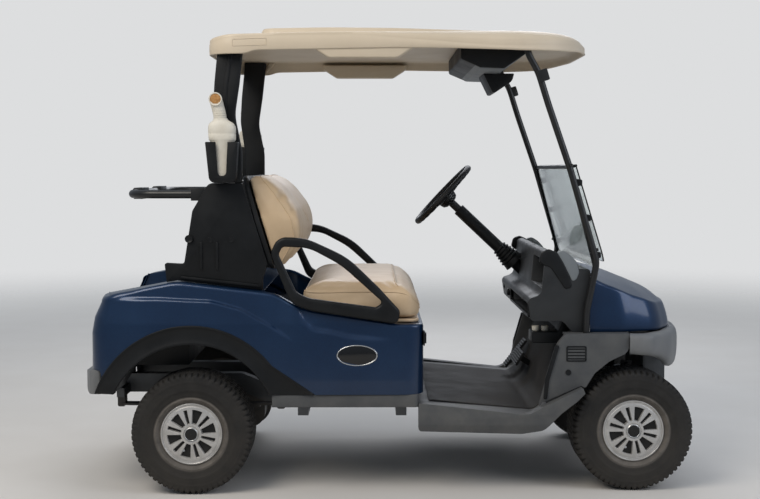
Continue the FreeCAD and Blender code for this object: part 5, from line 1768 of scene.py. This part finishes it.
@dataclass
class Cabin(Assembly):
    """Floor, dash, pedals and steering."""

    wheel_middle: Corner = (FRONT_AXLE - 678.0, 280.0, 1106.0)
    tilt: float = 46.7
    wheel_radius: float = 159.0
    rim_thickness: float = 13.0

    def build(self) -> None:
        """Build all of it."""
        f = self.finishes
        self.refine("floor_pan", "floor_and_rockers", 5, f.charcoal, "bumper_plastic")
        dress(self.mat(), f.mat, "trim_plastic")
        self.refine("dashboard", "dash_moulding", 4, f.dash, "dash_plastic")
        dress(self.dash_ends(), f.trim, "dash_plastic")
        dress(self.pale_ends(), f.pale, "dash_plastic")
        dress(self.cup_box(), f.trim, "trim_plastic")
        dress(self.cups(), f.milky, "bottle_plastic")
        dress(self.dash_face(), f.trim, "trim_plastic")
        dress(self.pedal_pads(), f.mat, "trim_plastic")
        self.refine("steering_column", "column_tube", 2, f.trim, "trim_plastic")
        dress(self.boot(), f.trim, "trim_plastic")
        dress(self.steering_wheel(), f.grip, "trim_plastic", ["steering_wheel"], body="helm")

    def mat(self) -> Object:
        """Ribbed mat on the floor and up the toe board."""
        side = [
            (REAR_AXLE + 892, 334.2, 0), (FRONT_AXLE - 372, 298, 40), (FRONT_AXLE - 325, 338, 60),
            (FRONT_AXLE - 236, 568, 0)]
        line = resampled(rounded(side, False, 8), 0.012)
        columns = 190

        def place(row: int, column: int) -> Vector:
            """Point of the mat's ribbed face."""
            x, z = line[row]
            along = heading(line, row)
            y = -0.464 + 0.928 * column / (columns - 1)
            lift = (2.4 + (1.6 if column % 4 in (1, 2) else 0)) * MM
            if row in (0, len(line) - 1) or column in (0, columns - 1):
                lift = 0.8 * MM
            return Vector((x - along.y * lift, y, z + along.x * lift))

        return smooth(skin("ribbed_mat", len(line), columns, place), 24)

    def dash_ends(self) -> Object:
        """Raised rounded ears at both ends of the dash."""
        ear = at_front([
            (-356, 866, 14), (-347, 904, 22), (-318, 915, 20), (-285, 901, 30), (-262, 862, 40),
            (-240, 815, 40), (-228, 768, 12), (-256, 762, 10), (-266, 776, 20), (-290, 812, 40),
            (-312, 845, 24), (-336, 852, 10)])
        return paired(soften(slab("dash_ears", ear, -489, -466, 8), 6.5, 4, 50))

    def pale_ends(self) -> Object:
        """Pale covers at both ends of the dash, behind the ears."""
        upper = at_front([
            (-290, 902, 8), (-262, 908, 16), (-236, 892, 20), (-212, 866, 16), (-202, 826, 20),
            (-212, 800, 10), (-228, 790, 8), (-246, 826, 30), (-268, 868, 30)])
        return paired(soften(slab("pale_dash_ends", upper, -486, -455, 8), 4, 3, 50))

    def cup_box(self) -> Object:
        """Small box under the dash on the passenger's side, with its bracket."""
        side = at_front([
            (-371, 545, 8), (-371, 589, 6), (-270, 589, 10), (-246, 642, 6), (-228, 642, 4), (-238, 572, 10),
            (-262, 545, 8)])
        return soften(slab("cup_box", side, -404, -300, 8), 4, 3, 50)

    def cups(self) -> Object:
        """Two pale cups on the box."""
        return joined("pale_cups", [
            knob("cup", metres(FRONT_AXLE + u, -352, 588), Vector((0, 0, 1)), 14, 20) for u in (-350, -314)])

    def dash_face(self) -> Object:
        """Rim of the shelf, key switch and charge lamp on the dash."""
        x = FRONT_AXLE - 393
        rim = slab("dash_details", box(-477, 137, 654, 714, 10), x - 3, x + 12, plane=Plane.YZ)
        cut(rim, slab("tool", box(-470, 130, 661, 707, 8), x - 20, x + 30, plane=Plane.YZ))
        switch = knob("key_switch", metres(FRONT_AXLE - 390, 200, 684), Vector((-1, 0, 0)), 15, 14)
        lamp = knob("lamp", metres(FRONT_AXLE - 390, 400, 690), Vector((-1, 0, 0)), 9, 7)
        pieces = [rim, switch, lamp]
        return soften(joined("dash_details", pieces), 1.4, 2, 50)

    def pedal_pads(self) -> Object:
        """Ribbed rubber faces on both pedals."""
        pieces = []
        # columns: across, width, height, tilt, forward, up
        for y, width, height, tilt, u, z in ((150, 190, 62, 58, -362, 412), (330, 84, 150, 52, -352, 400)):
            count = int(height / 12)
            for step in range(count):
                along = -height / 2 + 9 + (height - 18) * step / (count - 1)
                section = [
                    (along - 3.4, 4.5, 0), (along + 3.4, 4.5, 0), (along + 2.4, 8, 1), (along - 2.4, 8, 1)]
                rib = slab("pedal_pads", section, -width / 2 + 5, width / 2 - 5)
                place = Matrix.Translation(metres(FRONT_AXLE + u, y, z))
                rib.data.transform(place @ Matrix.Rotation(radians(-tilt), 4, "Y"))
                pieces.append(rib)
        return smooth(joined("pedal_pads", pieces))

    def on_column(self, point: Vector) -> Vector:
        """Place given along the steering column (up towards the driver is local Z) put in the frame."""
        tilt = radians(self.tilt)
        up = Vector((-sin(tilt), 0, cos(tilt)))
        high = Vector((cos(tilt), 0, sin(tilt)))
        side = Vector((0, 1, 0))
        return metres(*self.wheel_middle) + (side * point.x + high * point.y + up * point.z) * MM

    def boot(self) -> Object:
        """Pleated boot where the column enters the dash."""
        pieces = []
        for step in range(5):
            distance = -344 - 15 * step
            points = [self.on_column(Vector((c, s, distance))) for c, s in circle(30 + 3.4 * step, 20)]
            pieces.append(bar("column_boot", points, 4.5, closed=True, sides=3))
        return joined("column_boot", pieces)

    def steering_wheel(self) -> Object:
        """Padded rim with grip bumps behind it, three dished spokes and the hub's pad."""
        pieces = []
        rows, columns = 18, 144

        def rim(row: int, column: int) -> Vector:
            """Point of the rim."""
            turn, around = tau * column / columns, tau * row / rows
            thick = self.rim_thickness + 0.6 * cos(turn * 24) * max(0, -sin(around))
            reach = self.wheel_radius + thick * cos(around)
            return self.on_column(Vector((reach * cos(turn), reach * sin(turn), thick * sin(around))))

        pieces.append(skin("driver_wheel", rows + 1, columns + 1, rim))
        for angle in (90, 210, 330):
            a = radians(angle)
            across = Vector((-sin(a), cos(a), 0))
            outwards = Vector((cos(a), sin(a), 0))
            # columns: distance from the hub, half width, middle depth, half thickness
            ribs = [
                (24, 23, -20, 8), (60, 19, -17, 6.5), (100, 15, -11, 5.5), (135, 13, -5, 5),
                (156, 12, -1, 4.5)]

            def spoke(row: int, column: int) -> Vector:
                """Point of a spoke's rounded section."""
                reach, half, middle, thick = ribs[row]
                around = tau * column / 16
                spot = outwards * reach + across * half * cos(around)
                return self.on_column(spot + Vector((0, 0, middle + thick * sin(around))))

            pieces.append(skin("spoke", len(ribs), 17, spoke))
        # columns: radius, height on the column
        pad = [(0, -4), (20, -4.4), (34, -6), (40, -10), (44, -18), (42, -32), (38, -44), (26, -52), (0, -52)]

        def hub(row: int, column: int) -> Vector:
            """Point of the hub's pad."""
            radius, height = pad[row]
            turn = tau * column / 48
            return self.on_column(Vector((radius * cos(turn), radius * sin(turn), height)))

        pieces.append(skin("pad", len(pad), 49, hub))
        shaft = [self.on_column(Vector((0, 0, z))) for z in (-50, -70, -96)]
        pieces.append(bar("shaft", shaft, 17, order=2))
        return smooth(joined("driver_wheel", pieces), 50)


@dataclass
class Fittings(Assembly):
    """Side panels, struts, windshield channels, bag rack, bottle holders and bottles."""

    outer: float = -502.0
    inner: float = -478.0
    bottle_middle: float = -538.3

    def build(self) -> None:
        """Build all of it."""
        f = self.finishes
        dress(self.panels(), f.trim, "trim_plastic", ["side_panels"])
        dress(self.panel_details(), f.trim, "trim_plastic")
        dress(self.struts(), f.trim, "trim_plastic", ["rear_struts"])
        dress(self.channels(), f.trim, "trim_plastic")
        self.refine("bag_rack", "bag_rack_bar", 2, f.powder, "strut_paint")
        dress(self.rack_pads(), f.mat, "trim_plastic")
        self.refine("bottle_holders", "holders", 1.2, f.trim, "trim_plastic", 2)
        dress(self.bottles(), f.milky, "bottle_plastic", ["bottles"])
        dress(self.sand(), f.sand, "bottle_plastic")

    def panels(self) -> Object:
        """Upright plates with rounded edges."""
        outline = at_rear([
            (-60, 797.6, 0), (-100, 791, 2), (-108, 864, 8), (-34, 860, 12), (-2, 1060, 20), (60, 1165, 30),
            (186.2, 1165, 4), (280, 862, 30), (262, 800, 20), (262, 760.5, 0)])
        return paired(soften(slab("side_uprights", outline, self.outer, self.inner, 8), 5, 3, 50))

    def panel_details(self) -> Object:
        """Ribs, rim, plugs and the knob on the outer face of each upright."""
        pieces = []
        for u in (31, 91):
            pieces.append(slab("rib", at_rear(box(u - 5, u + 5, 838, 943, 3)), -508, -500))
        for u, z in ((65, 951), (144, 951)):
            pieces.append(knob("plug", metres(REAR_AXLE + u, -501, z), Vector((0, -1, 0)), 11, 4))
        pieces.append(knob("knob", metres(REAR_AXLE - 14, -499, 955), Vector((0, -1, 0)), 15, 17))
        rim = at_rear([(-46, 806, 0), (-46, 815, 4), (252, 782, 4), (252, 773, 0)])
        pieces.append(slab("foot", rim, -512, -500))
        return paired(soften(joined("upright_details", pieces), 2, 2, 50))

    def struts(self) -> Object:
        """Curved moulded struts up to the roof, with a raised spine."""
        outline = at_rear([
            (104, 1165.3, 0), (98, 1290, 200), (78, 1430, 200), (84, 1539.6, 200), (100, 1698, 0),
            (196, 1698, 0), (178, 1539.6, 160), (160, 1419.8, 160), (186, 1290, 200), (186.2, 1165.3, 0)])
        body = soften(slab("moulded_struts", outline, self.outer, self.inner, 5), 6, 3, 50)
        spine = at_rear([
            (138, 1185, 4), (132, 1290, 200), (112, 1430, 200), (120, 1539.6, 200), (140, 1650, 4),
            (154, 1650, 4), (136, 1539.6, 160), (128, 1430, 160), (150, 1290, 200), (156, 1185, 4)])
        raised = soften(slab("spine", spine, -505.5, -500, 5), 2.5, 3, 50)
        return paired(joined("moulded_struts", [body, raised]))

    def channels(self) -> Object:
        """Channels that hold the lower pane's sides against the struts, with their tabs."""
        pieces = []
        strip = at_front([(-150, 846, 3), (-131, 851, 3), (-229, 1222, 3), (-248, 1217, 3)])
        pieces.append(slab("pane_channels", strip, -488, -476))
        for share in (0.12, 0.5, 0.86):
            u, z = -128 - 98 * share, 850 + 370 * share
            tab = at_front([(u, z - 15, 3), (u + 17, z - 13, 5), (u + 17, z + 9, 5), (u - 6, z + 13, 3)])
            pieces.append(slab("tab", tab, -496, -480))
        return paired(soften(joined("pane_channels", pieces), 1.6, 2, 50))

    def rack_pads(self) -> Object:
        """Ribbed pads on the saddles of the bag rack."""
        pieces = []
        for side in (-1, 1):
            for step in range(9):
                y = side * 215 - 60 + 15 * step
                outline = at_rear([(-267, 1103, 3), (-260, 1103, 0), (-260, 1141, 0), (-267, 1141, 3)])
                pieces.append(slab("rack_pads", outline, y - 4.5, y + 4.5))
        return soften(joined("rack_pads", pieces), 1.4, 2, 50)

    def bottles(self) -> Object:
        """Sand bottles: shouldered bodies with grip rings and bent spouts."""
        # columns: height, forward, half length, half depth
        rings = [
            (1171, 119, 2, 2), (1171, 119, 26, 15), (1174, 119, 34, 21), (1190, 119, 36, 23),
            (1260, 119, 39, 24.5), (1318, 118, 43, 26.5), (1324, 118, 49, 28.6), (1328, 118, 50.5, 29.4),
            (1346, 117, 51.5, 30), (1349, 117, 50, 29), (1352, 117, 51.5, 30), (1370, 117, 51.5, 30),
            (1378, 116, 50, 29.4), (1386, 115, 46, 28), (1392, 114, 39, 26.4), (1396, 113, 32, 25),
            (1400, 112, 28, 24), (1406, 111, 26, 23)]

        def place(row: int, column: int) -> Vector:
            """Point of the bottle's rounded oblong section."""
            z, u, long, deep = rings[row]
            turn = tau * column / 56
            c, s = cos(turn), sin(turn)
            grow = (abs(c) ** 2.6 + abs(s) ** 2.6) ** (-1 / 2.6)
            return metres(REAR_AXLE + u + long * c * grow, self.bottle_middle + deep * s * grow, z)

        body = skin("sand_bottles", len(rings), 57, place)
        y = self.bottle_middle
        line = at_rear([
            (111, y, 1400), (108, y, 1424), (101, y, 1450), (96, -540, 1470), (96, -550, 1475),
            (96, -566, 1476)])
        spout = bar("spout", [metres(*spot) for spot in line], 24, order=4, sides=8, steps=8)
        pieces = [body, spout]
        for z, u in ((1418, 109.3), (1426, 107.4), (1434, 105.4)):
            ring = [metres(REAR_AXLE + u + c, self.bottle_middle + s, z) for c, s in circle(23.6, 16)]
            pieces.append(bar("ring", ring, 1.8, closed=True, sides=2))
        mouth = [metres(REAR_AXLE + 96 + c, -566.5, 1476 + s) for c, s in circle(23, 16)]
        pieces.append(bar("mouth", mouth, 2.6, closed=True, sides=3))
        return paired(smooth(joined("sand_bottles", pieces), 50))

    def sand(self) -> Object:
        """Sand in the mouths of the bottles."""
        rows, columns = 9, 49
        middle = Vector((REAR_AXLE + 96, -566, 1476))

        def place(row: int, column: int) -> Vector:
            """Point of the heaped, grainy face."""
            reach = 22 * row / (rows - 1)
            turn = tau * (column % (columns - 1)) / (columns - 1)
            spot = Vector((reach * cos(turn), 0, reach * sin(turn)))
            heap = 3 * (1 - (reach / 22) ** 2) + 1.2 * noise.noise(spot * 0.35)
            return (middle + spot - Vector((0, heap, 0))) * MM

        return paired(smooth(skin("bottle_sand", rows, columns, place), 30))


def main() -> None:
    """Load the frame, set up the studio, build every sub-assembly and set the view transform."""
    logging.basicConfig(level=logging.INFO, format="%(message)s")
    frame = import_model()
    finishes = Finishes()
    Studio().build()
    nodes = frame["nodes"]
    for kind in (CarriedNodes, Roof, RearBody, Seat):
        kind(finishes, nodes).build()
    for name, axle, track, side in WHEELS:
        Wheel(finishes, nodes, name, axle, track, side).build()
    for kind in (Nose, Cabin, Fittings):
        kind(finishes, nodes).build()
    bpy.context.scene.view_settings.view_transform = "Standard"


if __name__ == "__main__":
    main()
